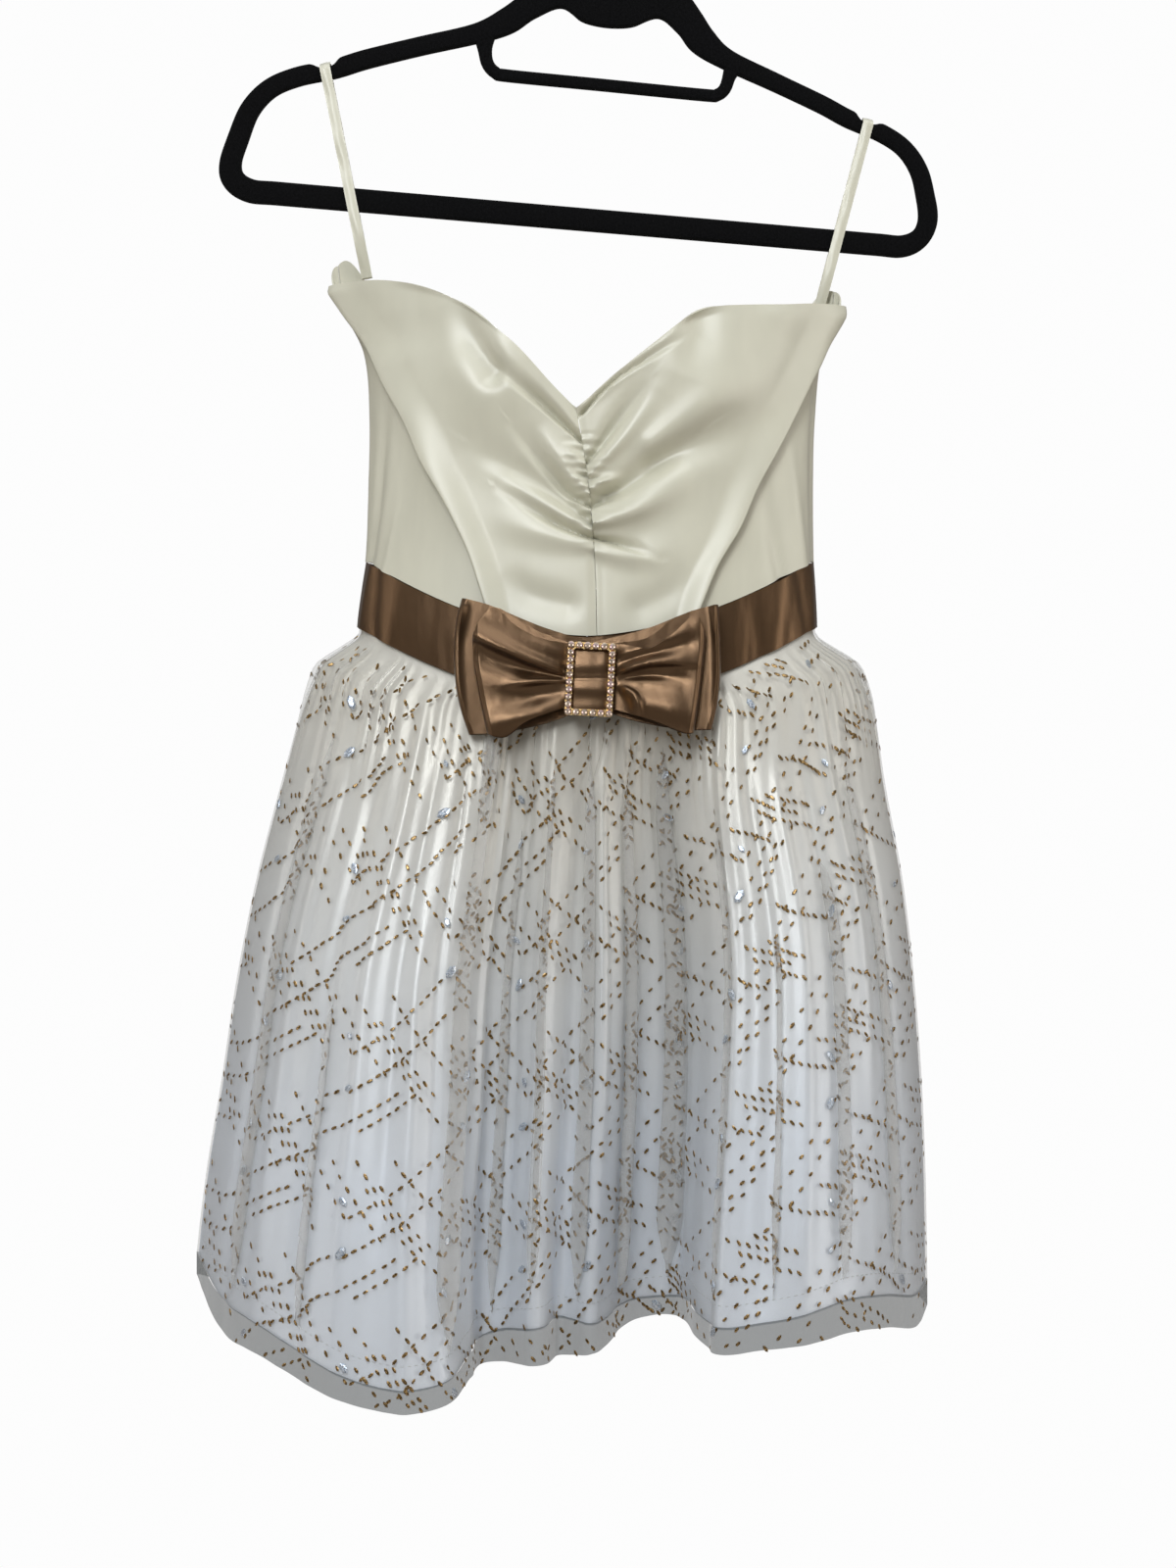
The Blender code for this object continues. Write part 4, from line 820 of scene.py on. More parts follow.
def figure_point(angle, z, out):
    """Points of the figure at angles from the front (right positive), moved out."""
    left, right, front, behind = read_figure(z)
    middle, half = (left + right) / 2, (right - left) / 2
    turn = np.cos(angle)
    x = middle + (half + out) * np.sin(angle)
    rise = CUP_RISE * bump_of((np.abs(x - middle) - CUP_ACROSS) / CUP_WIDTH)
    rise = rise * bump_of((z - CUP_HEIGHT_Z) / CUP_TALL)
    deep = np.where(turn < 0, behind, front + rise)
    return stacked(x, -(deep + out) * turn, z)


def around_figure(angle, z):
    """Distance round the figure, roughly, as the cloth's own width is mapped."""
    left, right = read_figure(z)[:2]
    return angle * (right - left) / 2


def angle_at(x, z, out):
    left, right = read_figure(z)[:2]
    share = (x - (left + right) / 2) / ((right - left) / 2 + out)
    limit = math.sin(CORNER_ANGLE)
    return np.arcsin(np.clip(share, -limit, limit))


def band_top(angle):
    """Height of the waist ribbon's top edge round the figure."""
    sideways = np.abs(np.sin(angle)) ** BAND_POWER
    drop = np.where(np.cos(angle) > 0, BAND_FRONT_DROP, BAND_BACK_DROP)
    return BAND_SIDE_Z - drop * (1 - sideways)


def edge_line(rows, out, shift=0.0):
    x, z = np.array(rows, float).T * MM
    return Line(stacked(angle_at(x + shift, z, out), z))


def patch(bottom, top, start, end, across, up):
    """Angle and height inside four edges, over a grid of shares."""
    a, u = across[None, :, None], up[:, None, None]
    low, high = bottom[None], top[None]
    first, last = start[:, None], end[:, None]
    flat = ((1 - u) * ((1 - a) * low[:, :1] + a * low[:, -1:])
            + u * ((1 - a) * high[:, :1] + a * high[:, -1:]))
    found = (1 - a) * first + a * last + (1 - u) * low + u * high - flat
    return found[..., 0], found[..., 1]


def from_band(edge, up):
    """The same edge, let down at its foot to the waist ribbon."""
    short = edge[0, 1] - band_top(edge[0, 0]) - SEAM_GAP
    return edge - stacked(0.0, short * (1 - up) ** 2)


def along_band(first, last, shares):
    angle = blend(first, last, shares)
    return stacked(angle, band_top(angle) + SEAM_GAP)


# ---------------------------------------------------------------- bodice

CUP_COLUMNS, CUP_ROWS = 120, 130
SIDE_COLUMNS, SIDE_ROWS = 44, 64
BACK_COLUMNS, BACK_ROWS = 64, 48
# columns lie closer together towards the seam, by this power
CLOSER_AT_SEAM = 1.15
CREASE_GAIN = 1.45
# share of its length from which a crease dies away, and how much of it does
CREASE_FADES = (0.45, 0.9)
# share of the height over which the drapes flatten into the sewn top edge, and what is left there
SEWN_TOP = (0.02, 0.35)
PANEL_EDGE = 0.08
# a front panel: how far its outer edge is rolled up, and the shares across where it rises
ROLL_HEIGHT = 4.6 * MM
ROLL_FROM = 0.74
ROLL_TOP = 0.955
SEAM_DIP = 1.2 * MM
SEAM_DIP_WIDTH = 3.2 * MM
RUCHE_HEIGHT = 1.0 * MM
RUCHE_PITCH = 5.2 * MM
RUCHE_REACH = 9.0 * MM
# heights between which the ruching fades in at its foot and out at its top
RUCHE_FOOT = (-436.0 * MM, -428.0 * MM)
RUCHE_HEAD = (-372.0 * MM, -362.0 * MM)
# cut width and length
CUP_CUT = (0.19, 0.235)
SIDE_CUT = (0.12, 0.225)
BACK_CUT = (0.17, 0.21)


def crease_relief(creases, x, z):
    """How far creases stand out at points seen from the front."""
    relief = np.zeros_like(x)
    for x0, z0, x1, z1, x2, z2, height, start_width, end_width, steep in creases:
        line = Line(np.array([(x0, z0), (x1, z1), (x2, z2)]) * MM, steps=8).points
        best = np.full(x.shape, 1e9)
        along, side = np.zeros_like(x), np.zeros_like(x)
        for i, step in enumerate(np.diff(line, axis=0)):
            share = ((x - line[i, 0]) * step[0] + (z - line[i, 1]) * step[1]) / (step @ step)
            share = np.clip(share, 0, 1)
            dx, dz = x - line[i, 0] - share * step[0], z - line[i, 1] - share * step[1]
            far = np.hypot(dx, dz)
            near = far < best
            best = np.where(near, far, best)
            along = np.where(near, (i + share) / (len(line) - 1), along)
            side = np.where(near, np.sign(step[0] * dz - step[1] * dx), side)
        width = blend(start_width, end_width, along) * MM
        width = width / np.where(side > 0, max(steep, 1.0), max(1 / steep, 1.0))
        fade = 1 - smooth_step(CREASE_FADES[0], 1.0, along) * CREASE_FADES[1]
        relief += height * MM * bump_of(best / width) * fade
    return relief


def cup_grid(side, top_rows, fold_rows, creases):
    """A draped front panel with its ruched seam and rolled fold."""
    across = np.linspace(0, 1, CUP_COLUMNS) ** CLOSER_AT_SEAM
    up = np.linspace(0, 1, CUP_ROWS)
    shift = side * SEAM_GAP / 2
    seam = edge_line(SEAM_CENTRE, CUP_LIFT, shift)
    fold, top = edge_line(fold_rows, CUP_LIFT), edge_line(top_rows, CUP_LIFT, shift)
    start, end = (from_band(stacked(*edge.at(up)), up) for edge in (seam, fold))
    bottom = along_band(start[0, 0], end[0, 0], across)
    angle, z = patch(bottom, stacked(*top.at(across)), start, end, across, up)
    x = figure_point(angle, z, CUP_LIFT + CLOTH)[..., 0]
    from_seam = np.abs(x - x[:, :1])
    rolled = smooth_step(ROLL_FROM, ROLL_TOP, across)
    rolled = rolled * (1 - 0.9 * smooth_step(ROLL_TOP, 1.0, across))
    relief = CREASE_GAIN * crease_relief(creases, x, z) + ROLL_HEIGHT * rolled[None, :]
    ruched = smooth_step(*RUCHE_FOOT, z) * (1 - smooth_step(*RUCHE_HEAD, z))
    wave = np.sin(2 * math.pi * z / RUCHE_PITCH + side * 1.3 + 2.2 * np.sin(z / (9 * MM)))
    relief += RUCHE_HEIGHT * ruched * wave * bump_of(from_seam / RUCHE_REACH)
    relief -= SEAM_DIP * bump_of(from_seam / SEAM_DIP_WIDTH)
    relief = relief * blend(SEWN_TOP[1], 1.0, np.minimum(1.0, (1 - up)[:, None] / SEWN_TOP[0]))
    return figure_point(angle, z, CUP_LIFT + CLOTH + relief), stacked(x, z)


def back_top(angle):
    sideways = np.abs(np.sin(angle)) ** BACK_POWER
    peak = bump_of((np.abs(angle) - PEAK_ANGLE) / PEAK_WIDTH)
    rise = np.where(angle < 0, LEFT_PEAK_RISE, RIGHT_PEAK_RISE)
    lower = RIGHT_SIDE_LOWER * smooth_step(-0.2, 0.4, np.sin(angle))
    return BACK_TOP_Z + (BACK_RISE - lower) * sideways + rise * peak


def soft_relief(creases, angle, z):
    """Long soft creases on a panel that follows the figure."""
    relief = np.zeros_like(angle)
    for at, height_z, lean, wide, tall, height in creases:
        middle = math.radians(at) + math.radians(lean) * (z - height_z * MM) / (100 * MM)
        off = (angle - middle) / math.radians(wide)
        relief += height * MM * bump_of(off) * bump_of((z - height_z * MM) / (tall * MM))
    return relief


def side_grid(side, fold_rows):
    across, up = np.linspace(0, 1, SIDE_COLUMNS), np.linspace(0, 1, SIDE_ROWS)
    angle, z = edge_line(fold_rows, 0.0).at(up)
    start = from_band(stacked(angle - side * SIDE_TUCK, z - SIDE_BELOW_CORNER * up), up)
    seam_angle = side * SIDE_SEAM_ANGLE
    seam_top = back_top(np.array(seam_angle))
    seam_low = band_top(np.array(seam_angle)) + SEAM_GAP
    end = stacked(seam_angle, blend(seam_low, seam_top, up))
    top = stacked(blend(start[-1, 0], seam_angle, across),
                  blend(start[-1, 1], seam_top, smooth_step(0, 1, across)))
    bottom = along_band(start[0, 0], seam_angle, across)
    return panel_grid(bottom, top, start, end, across, up, SIDE_CREASES)


def back_grid(side):
    across, up = np.linspace(0, 1, BACK_COLUMNS), np.linspace(0, 1, BACK_ROWS)
    first = side * (SIDE_SEAM_ANGLE + SIDE_SEAM_TURN)
    last = side * (math.pi - ZIP_TURN)
    angle = blend(first, last, across)
    ends = [stacked(at, blend(band_top(np.array(at)) + SEAM_GAP, back_top(np.array(at)), up))
            for at in (first, last)]
    top = stacked(angle, back_top(angle))
    return panel_grid(along_band(first, last, across), top, *ends, across, up, BACK_CREASES)


def panel_grid(bottom, top, start, end, across, up, creases):
    angle, z = patch(bottom, top, start, end, across, up)
    relief = soft_relief(creases, angle, z) * inset(across, PANEL_EDGE)[None, :]
    return figure_point(angle, z, relief), stacked(around_figure(angle, z), z)


class DRESS_OT_bodice(bpy.types.Operator):
    """Drape the satin front panels over the plain side and back panels"""

    bl_idname = "dress.bodice"
    bl_label = "Bodice"

    def execute(self, context):
        sides = (("left", -1, TOP_EDGE_LEFT, FOLD_EDGE_LEFT, CREASES_LEFT),
                 ("right", 1, TOP_EDGE_RIGHT, FOLD_EDGE_RIGHT, CREASES_RIGHT))
        for word, side, top_rows, fold_rows, creases in sides:
            panels = (
                ("front_panel_", "bodice_cup_", cup_grid(side, top_rows, fold_rows, creases),
                 "draped", "bodice_side_", CUP_CUT),
                ("side_panel_", "bodice_side_", side_grid(side, fold_rows),
                 "hung", "bodice_back_", SIDE_CUT),
                ("back_panel_", "bodice_back_", back_grid(side), "hung", "loop_", BACK_CUT),
            )
            for piece, node, (outer, uv), held, under, cut in panels:
                inner = outer - body_normals(outer) * looks().satin_thick
                made = cloth(piece + word, outer, inner, ivory_satin(), uv)
                dressed(made, "ivory_satin", node + word)
        return {"FINISHED"}


# ---------------------------------------------------------------- waist ribbon and hanger loops

BAND_COLUMNS, BAND_ROWS = 361, 17
BAND_BULGE = 0.35 * MM
BAND_CREASE_GAIN = 0.9


class DRESS_OT_waist_ribbon(bpy.types.Operator):
    """Wrap the bronze ribbon round the waist"""

    bl_idname = "dress.waist_ribbon"
    bl_label = "Waist ribbon"

    def execute(self, context):
        end = math.pi - ZIP_TURN
        angle, share = np.meshgrid(np.linspace(-end, end, BAND_COLUMNS),
                                   np.linspace(0, 1, BAND_ROWS))
        z = band_top(angle) - BAND_TALL * share
        relief = soft_relief(BAND_CREASES, angle, z) * BAND_CREASE_GAIN
        relief = relief + BAND_BULGE * np.sin(math.pi * share)
        outer = figure_point(angle, z, BAND_LIFT + relief)
        # the warp runs along the ribbon
        uv = stacked(z, around_figure(angle, z))
        inner = outer - body_normals(outer) * looks().ribbon_thick
        made = cloth("waist_ribbon", outer, inner, bronze_satin(), uv)
        dressed(made, "bronze_satin", "waistband")
        return {"FINISHED"}


# name, seat on the hanger and front foot (x, z), y of the front foot and of the back foot
HANGER_LOOPS = (
    ("left", (-178.94, -133.98), (-153.5, -262), 1.2, 4.8),
    ("right", (155.52, -168.53), (125.5, -282), -0.8, 1.8),
)
LOOP_WIDTH = 6.5 * MM
LOOP_TURN = 3.85 * MM
LOOP_CREASE = 0.25 * MM
LOOP_HALF_THICK = 0.45 * MM
# shares of the way down from the seat: the straight part, and the knee above the foot
LOOP_STRAIGHT = (0.66, 0.5, 0.34, 0.17)
LOOP_KNEE = 0.82
LOOP_STATIONS, LOOP_COLUMNS = 110, 11


def loop_grid(seat, foot, foot_y, back_y):
    """One ribbon up in front of the hanger, over its notch and down behind, as a grid."""
    seat, foot = np.array(seat) * MM, np.array(foot) * MM
    foot_y, back_y = foot_y * MM, back_y * MM
    knee = blend(seat, foot, LOOP_KNEE)
    straight = [blend(seat, foot, share) for share in LOOP_STRAIGHT]
    over = [(seat[0], seat[1] + LOOP_TURN * math.sin(turn), -LOOP_TURN * math.cos(turn))
            for turn in np.linspace(0, math.pi, 17)]
    rows = [(*foot, foot_y), (*knee, -LOOP_TURN), *((*at, -LOOP_TURN) for at in straight), *over,
            *((*at, LOOP_TURN) for at in reversed(straight)),
            (*knee, blend(LOOP_TURN, back_y, 0.3)), (*foot, back_y)]
    line = Line(rows, measured=3, steps=5)
    shares = np.linspace(0, 1, LOOP_STATIONS)
    x, z, y = line.at(shares)
    middle = stacked(x, y, z)
    way = unit(seat - foot)
    level = np.array([way[1], 0.0, -way[0]])
    normal = unit(np.cross(level, np.gradient(middle, axis=0)))
    across, shares = np.meshgrid(np.linspace(-0.5, 0.5, LOOP_COLUMNS), shares)
    # edges turned in by the sewing, and a few soft kinks down the length
    kinks = 0.8 * np.sin(shares * 61 + across * 5) * np.sin(shares * 17)
    relief = LOOP_CREASE * (np.cos(2 * math.pi * across) + kinks)
    outer = (middle[:, None] + (across * LOOP_WIDTH)[..., None] * level
             + relief[..., None] * normal[:, None])
    return outer, normal[:, None], stacked(across * LOOP_WIDTH, shares * line.length)


class DRESS_OT_hanger_loops(bpy.types.Operator):
    """Hang the two narrow satin loops over the hanger's notches"""

    bl_idname = "dress.hanger_loops"
    bl_label = "Hanger loops"

    def execute(self, context):
        for word, *places in HANGER_LOOPS:
            middle, normal, uv = loop_grid(*places)
            half = normal * LOOP_HALF_THICK
            made = cloth("ribbon_loop_" + word, middle + half, middle - half, ivory_satin(), uv)
            dressed(made, "ivory_satin", "loop_" + word)
        return {"FINISHED"}


# ---------------------------------------------------------------- skirt

# what differs between front and back is read by True for the front
HEM = {True: Line(np.array(HEM_FRONT, float) * MM), False: Line(np.array(HEM_BACK, float) * MM)}
SATIN_FOLDS = {True: SATIN_FOLDS_FRONT, False: SATIN_FOLDS_BACK}
NET_LAPS = {True: NET_LAPS_FRONT, False: NET_LAPS_BACK}
PLEATS = {True: 42, False: 30}
CLIMB = {True: CLIMB_FRONT, False: CLIMB_BACK}
LINING_COLUMNS = {True: 260, False: 200}
NET_COLUMNS = {True: 760, False: 520}
FACES = ((True, "front"), (False, "back"))
# shares of the way down at which the rows lie; past 1 the net hangs below the satin
LINING_RINGS = np.linspace(0, 1, 76) ** 1.15
NET_RINGS = np.concatenate([np.linspace(0, 1, 72) ** 1.2, 1 + np.linspace(0, 1, 6)[1:]])
SATIN_GATHER = 1.8 * MM
SATIN_IN = 0.4 * MM
# shares of the way down: where gathers start under the ribbon, where they die away, and where the
# net leaves the ribbon
GATHERS_START = (0.0, 0.03)
GATHERS_END = (0.05, 0.28)
NET_START = (0.0, 0.02)
# middle and length of the puff of net just under the ribbon, as shares of the way down
PUFF_AT, PUFF_LONG = 0.05, 0.055
# shares along the hem that stay flat at the side seams
SATIN_SEAM, NET_SEAM = 0.02, 0.01
FOLD_GROWS = 0.15
LAP_GROWS = 0.12
NET_CLEAR = 1.3 * MM
NET_GATHER = 3.6 * MM
WAIST_PUFF = 2.2 * MM
HEM_LAP = 1.7 * MM


def hem_share(front, x):
    """Share along the hem at an x."""
    line = HEM[front]
    xs, marks = line.points[:, 0], line.marks / line.length
    return float(np.interp(x, xs, marks) if front else np.interp(-x, -xs, marks))


def drifting(front, x, drift, ring):
    """Share along the hem of a fold that drifts sideways towards the waist."""
    at_hem = hem_share(front, x * MM)
    return at_hem + (hem_share(front, (x + drift) * MM) - at_hem) * (1 - ring)


def satin_point(front, share, ring):
    """Points of the satin skirt: share along the hem, share of the way down."""
    hem = HEM[front]
    edge = 0.5 * SEAM_GAP / hem.length
    share = blend(edge, 1 - edge, share)
    x, y, z, shorter = hem.at(share)
    x_share = (x - HEM_LEFT if front else HEM_RIGHT - x) / (HEM_RIGHT - HEM_LEFT)
    by_x = np.arccos(1 - 2 * np.clip(x_share, 0, 1)) / math.pi
    waist_share = np.clip(blend(share, by_x, WAIST_BY_X), SIDE_CLEAR, 1 - SIDE_CLEAR)
    angle = (-math.pi / 2 if front else math.pi / 2) + math.pi * waist_share
    start = figure_point(angle, band_top(angle) - BAND_TALL - SKIRT_DROP, -SKIRT_LIFT)
    height = blend(start[..., 2], z + shorter, ring)
    left, right = read_outline(height)
    hem_x = (x - (HEM_RIGHT + HEM_LEFT) / 2) / ((HEM_RIGHT - HEM_LEFT) / 2)
    spread = ring ** SKIRT_GROWTH
    turned = blend(np.sin(angle), hem_x, spread)
    half = (right - left) / 2
    upright = UPRIGHT * turned * (1 - np.abs(turned) ** 2.5) * (1 - smooth_step(0.0, 0.5, ring))
    flat_x = (left + right) / 2 + turned * half - upright * (half - WAIST_HALF)
    place_x = blend(start[..., 0], flat_x, smooth_step(0.0, FLARE_BY, ring))
    return stacked(place_x, blend(start[..., 1], y, spread), height), shorter


def level_normals(points):
    """Level directions out of the skirt, from the way round."""
    across = np.gradient(points, axis=1)
    return unit(stacked(across[..., 1], -across[..., 0], 0.0))


def fold_relief(front, share, ring):
    """Soft lengthwise folds of the satin skirt."""
    relief = np.zeros_like(share)
    for x, drift, wide, height, first, last in SATIN_FOLDS[front]:
        off = (share - drifting(front, x, drift, ring)) * HEM[front].length / (wide * MM)
        off = off / blend(0.6, 1.0, ring)
        fade = smooth_step(first, first + FOLD_GROWS, ring)
        fade = fade * (1 - 0.7 * smooth_step(last - FOLD_GROWS, last + 0.05, ring))
        relief += height * MM * bump_of(off) * fade
    return relief * inset(share, SATIN_SEAM)


def waist_gathers(front, share, ring):
    """Small gathers under the waist ribbon that die away down the cloth."""
    uneven = 0.35 * np.sin(2 * math.pi * share * 5.3) + 0.2 * np.sin(2 * math.pi * share * 11.7)
    tall = 0.5 + 0.5 * np.cos(2 * math.pi * (share * PLEATS[front] + uneven))
    strength = 0.6 + 0.4 * np.sin(share * 57.0 + 1.3) * np.sin(share * 23.0)
    fade = smooth_step(*GATHERS_START, ring) * (1 - 0.96 * smooth_step(*GATHERS_END, ring))
    return tall ** 1.4 * strength * fade


def satin_surface(front, share, ring):
    """The satin with its folds, moved out from the plain skirt."""
    plain, shorter = satin_point(front, share, ring)
    gather = SATIN_GATHER * (waist_gathers(front, share, ring) - 0.5)
    relief = fold_relief(front, share, ring) + gather * smooth_step(*GATHERS_START, ring)
    return plain + level_normals(plain) * (relief - SATIN_IN)[..., None], shorter


def opened(down):
    """How far the gathered net has opened at a share of the way down."""
    return blend(PATTERN_AT_WAIST, 1.0, smooth_step(0.0, PATTERN_OPEN_BY, down))


def skirt_map(front, share, ring):
    """Distance across the flat cloth from its middle, and down from the waist."""
    return stacked((share - 0.5) * HEM[front].length * opened(ring), -ring * SKIRT_LONG)


def lap(front, share, ring):
    """The share moved back and forth where the net laps, and how far its layers stand out."""
    moved, lift = share.copy(), np.zeros_like(share)
    for x, drift, wide, out, way, first in NET_LAPS[front]:
        width = wide * MM / HEM[front].length
        off = (share - drifting(front, x, drift, ring)) / width
        strength = smooth_step(first, first + LAP_GROWS, ring) * blend(0.75, 1.0, ring)
        strength = strength * (1 - 0.85 * smooth_step(0.86, 1.0, ring))
        moved -= 3.0 * width * strength * off * np.exp(-off * off / 2)
        side = 1 - smooth_step(-1.3, 1.3, off * way)
        lift += out * MM * side * bump_of(np.minimum(off * way, 0.0) / 4.0) * strength
    return moved, lift


def net_surface(front, share, ring):
    """The net over the satin; a ring past 1 hangs below the satin's hem."""
    on_satin = np.minimum(ring, 1.0)
    moved, lift = lap(front, share, on_satin)
    base, shorter = satin_surface(front, np.clip(moved, 0, 1), on_satin)
    normal = level_normals(satin_surface(front, share, on_satin)[0])
    gather = NET_GATHER * waist_gathers(front, share, on_satin)
    puff = WAIST_PUFF * bump_of((on_satin - PUFF_AT) / PUFF_LONG)
    stand = (gather + lift + puff) * smooth_step(*NET_START, on_satin) * inset(share, NET_SEAM)
    points = base + normal * (NET_CLEAR + stand)[..., None]
    points[..., 2] -= shorter * np.maximum(ring - 1.0, 0.0)
    return points


class DRESS_OT_satin_skirt(bpy.types.Operator):
    """Hang the satin skirt in soft lengthwise folds, with a stitched hem"""

    bl_idname = "dress.satin_skirt"
    bl_label = "Satin skirt"

    def execute(self, context):
        for front, word in FACES:
            share, ring = np.meshgrid(np.linspace(0, 1, LINING_COLUMNS[front]), LINING_RINGS)
            outer, _ = satin_surface(front, share, ring)
            inner = outer - level_normals(outer) * looks().lining_thick
            made = cloth("satin_skirt_" + word, outer, inner, white_satin(),
                         skirt_map(front, share, ring))
            dressed(made, "white_satin", "skirt_lining_" + word)
            stitches = hem_stitches(front, word)
        return {"FINISHED"}


class DRESS_OT_net_skirt(bpy.types.Operator):
    """Gather the sheer net over the satin, with its glued glitter"""

    bl_idname = "dress.net_skirt"
    bl_label = "Net skirt and glitter"

    def execute(self, context):
        # the last row on the satin; below it the hem has its own finish of painted shade, which
        # starts a little above the satin's edge
        last = int((NET_RINGS < 1.0).sum())
        for front, word in FACES:
            share, ring = np.meshgrid(np.linspace(0, 1, NET_COLUMNS[front]), NET_RINGS)
            points, uv = net_surface(front, share, ring), skirt_map(front, share, ring)
            points[last, :, 2] += HEM_LAP
            made = single_sheet("net_skirt_" + word, points[:last + 1], glitter_net(),
                                uv[:last + 1])
            dressed(made, "glitter_net", "skirt_net_" + word)
            hem = single_sheet("net_hem_" + word, points[last:], shaded_hem_net(), uv[last:])
            dressed(hem, "glitter_net")
            glued = [glitter_on_net(front, word, kind, points) for kind in ("gold", "silver")]
        return {"FINISHED"}


# ---------------------------------------------------------------- repeats by geometry nodes

# sides of a small faceted piece, then its steps up: share of its height, how far each narrows
FORMS = {
    "stitches": (6, ((0.6, 0.9), (0.4, 0.6))),
    "glitter dashes": (6, ((0.6, 0.92), (0.4, 0.6))),
    "stone cups": (14, ((1.0, 0.86),)),
    "stones": (10, ((0.25, 1.0), (0.45, 0.72), (0.3, 0.55))),
}
REPEAT_INPUTS = (("Length", "Float"), ("Width", "Float"), ("Height", "Float"), ("Uneven", "Float"),
                 ("Seed", "Int"), ("Material", "Material"))
SPIN_SEED = 17


def repeat_tree(name):
    """Sets a form on each point, up its "facing" and along its "along"."""
    tree = bpy.data.node_groups.new(name, "GeometryNodeTree")
    for way in ("INPUT", "OUTPUT"):
        tree.interface.new_socket("Geometry", in_out=way, socket_type="NodeSocketGeometry")
    for title, kind in REPEAT_INPUTS:
        tree.interface.new_socket(title, in_out="INPUT", socket_type="NodeSocket" + kind)
    given = tree.nodes.new("NodeGroupInput").outputs

    def add(kind, output, inputs, **settings):
        """One output of a new node."""
        return socket_of(add_node(tree, kind, inputs, **settings).outputs, output)

    sides, steps_up = FORMS[name]
    shape = add("GeometryNodeMeshCircle", "Mesh", {"Vertices": sides, "Radius": 0.5},
                fill_type="NGON")
    chosen = {}
    for rise, narrowed in steps_up:
        extrude = add_node(tree, "GeometryNodeExtrudeMesh", {
            "Mesh": shape, "Offset Scale": rise, "Individual": False, **chosen}, mode="FACES")
        chosen = {"Selection": extrude.outputs["Top"]}
        shape = add("GeometryNodeScaleElements", "Geometry", {
            "Geometry": extrude.outputs["Mesh"], "Scale": narrowed, **chosen}, domain="FACE")
    size = add("ShaderNodeCombineXYZ", "Vector",
               {"X": given["Length"], "Y": given["Width"], "Z": given["Height"]})
    sized = add("GeometryNodeTransform", "Geometry", {"Geometry": shape, "Scale": size})
    facing, along = (add("GeometryNodeInputNamedAttribute", "Attribute", {"Name": title},
                         data_type="FLOAT_VECTOR") for title in ("facing", "along"))
    turn = add("FunctionNodeAlignRotationToVector", "Rotation", {"Vector": facing}, axis="Z")
    turn = add("FunctionNodeAlignRotationToVector", "Rotation",
               {"Rotation": turn, "Vector": along}, axis="X", pivot_axis="Z")
    spread = []
    for base, offset in ((1.0, 0), (0.0, SPIN_SEED)):
        low, high = (add("ShaderNodeMath", "Value", {0: base, 1: given["Uneven"]}, operation=kind)
                     for kind in ("SUBTRACT", "ADD"))
        seed = add("ShaderNodeMath", "Value", {0: given["Seed"], 1: offset}, operation="ADD")
        spread.append(add("FunctionNodeRandomValue", "Value",
                          {"Min": low, "Max": high, "Seed": seed}, data_type="FLOAT"))
    spin = add("FunctionNodeAxisAngleToRotation", "Rotation",
               {"Axis": (0, 0, 1), "Angle": spread[1]})
    turn = add("FunctionNodeRotateRotation", "Rotation", {"Rotation": turn, "Rotate By": spin},
               rotation_space="LOCAL")
    shape = add("GeometryNodeInstanceOnPoints", "Instances", {
        "Points": given["Geometry"], "Instance": sized, "Rotation": turn, "Scale": spread[0]})
    shape = add("GeometryNodeRealizeInstances", "Geometry", {"Geometry": shape})
    shape = add("GeometryNodeSetMaterial", "Geometry",
                {"Geometry": shape, "Material": given["Material"]})
    add_node(tree, "NodeGroupOutput", {"Geometry": shape})
    return tree


def set_on_points(name, slot, form, places, facing, along, *values):
    """Runs a form's tree on points and keeps what it makes as a plain mesh."""
    mesh = bpy.data.meshes.new(name + "_points")
    mesh.from_pydata(np.asarray(places).tolist(), [], [])
    for title, vectors in (("facing", facing), ("along", along)):
        layer = mesh.attributes.new(title, "FLOAT_VECTOR", "POINT")
        layer.data.foreach_set("vector", np.asarray(vectors, np.float32).reshape(-1))
    carrier = placed(name + "_points", mesh)
    modifier = carrier.modifiers.new("repeat", "NODES")
    tree = modifier.node_group = bpy.data.node_groups.get(form) or repeat_tree(form)
    sockets = {s.name: s.identifier for s in tree.interface.items_tree if s.in_out == "INPUT"}
    for (title, _), value in zip(REPEAT_INPUTS, values):
        modifier[sockets[title]] = value
    bpy.context.view_layer.update()
    depsgraph = bpy.context.evaluated_depsgraph_get()
    shown = bpy.data.meshes.new_from_object(carrier.evaluated_get(depsgraph))
    shown.name = name
    bpy.data.objects.remove(carrier)
    if not shown.polygons:
        raise RuntimeError(name + ": the repeat made nothing")
    for title in ("facing", "along"):
        if title in shown.attributes:
            shown.attributes.remove(shown.attributes[title])
    return dressed(placed(name, shown), slot)


# share of the way down, distance from stitch to stitch, and how far they stand off the satin
STITCH_UP = 0.965
STITCH_PITCH = 4.2 * MM
STITCH_OUT = 0.05 * MM
STITCH_SIZE = (0.5 * MM, 0.28 * MM)
SPOT_SIZE = (7.5 * MM, 4.2 * MM, 0.5 * MM)


def hem_stitches(front, word):
    """One row of machine stitches above the satin's hem."""
    count = int(HEM[front].length / STITCH_PITCH)
    share, ring = np.meshgrid(np.linspace(0.01, 0.99, count),
                              [STITCH_UP - 0.002, STITCH_UP, STITCH_UP + 0.002])
    points, _ = satin_surface(front, share, ring)
    normal = level_normals(points)[1]
    return set_on_points("hem_stitches_" + word, "white_satin", "stitches",
                         points[1] + normal * STITCH_OUT, normal, np.gradient(points[1], axis=0),
                         trims().stitch_long, *STITCH_SIZE, 0.04, 3, thread())


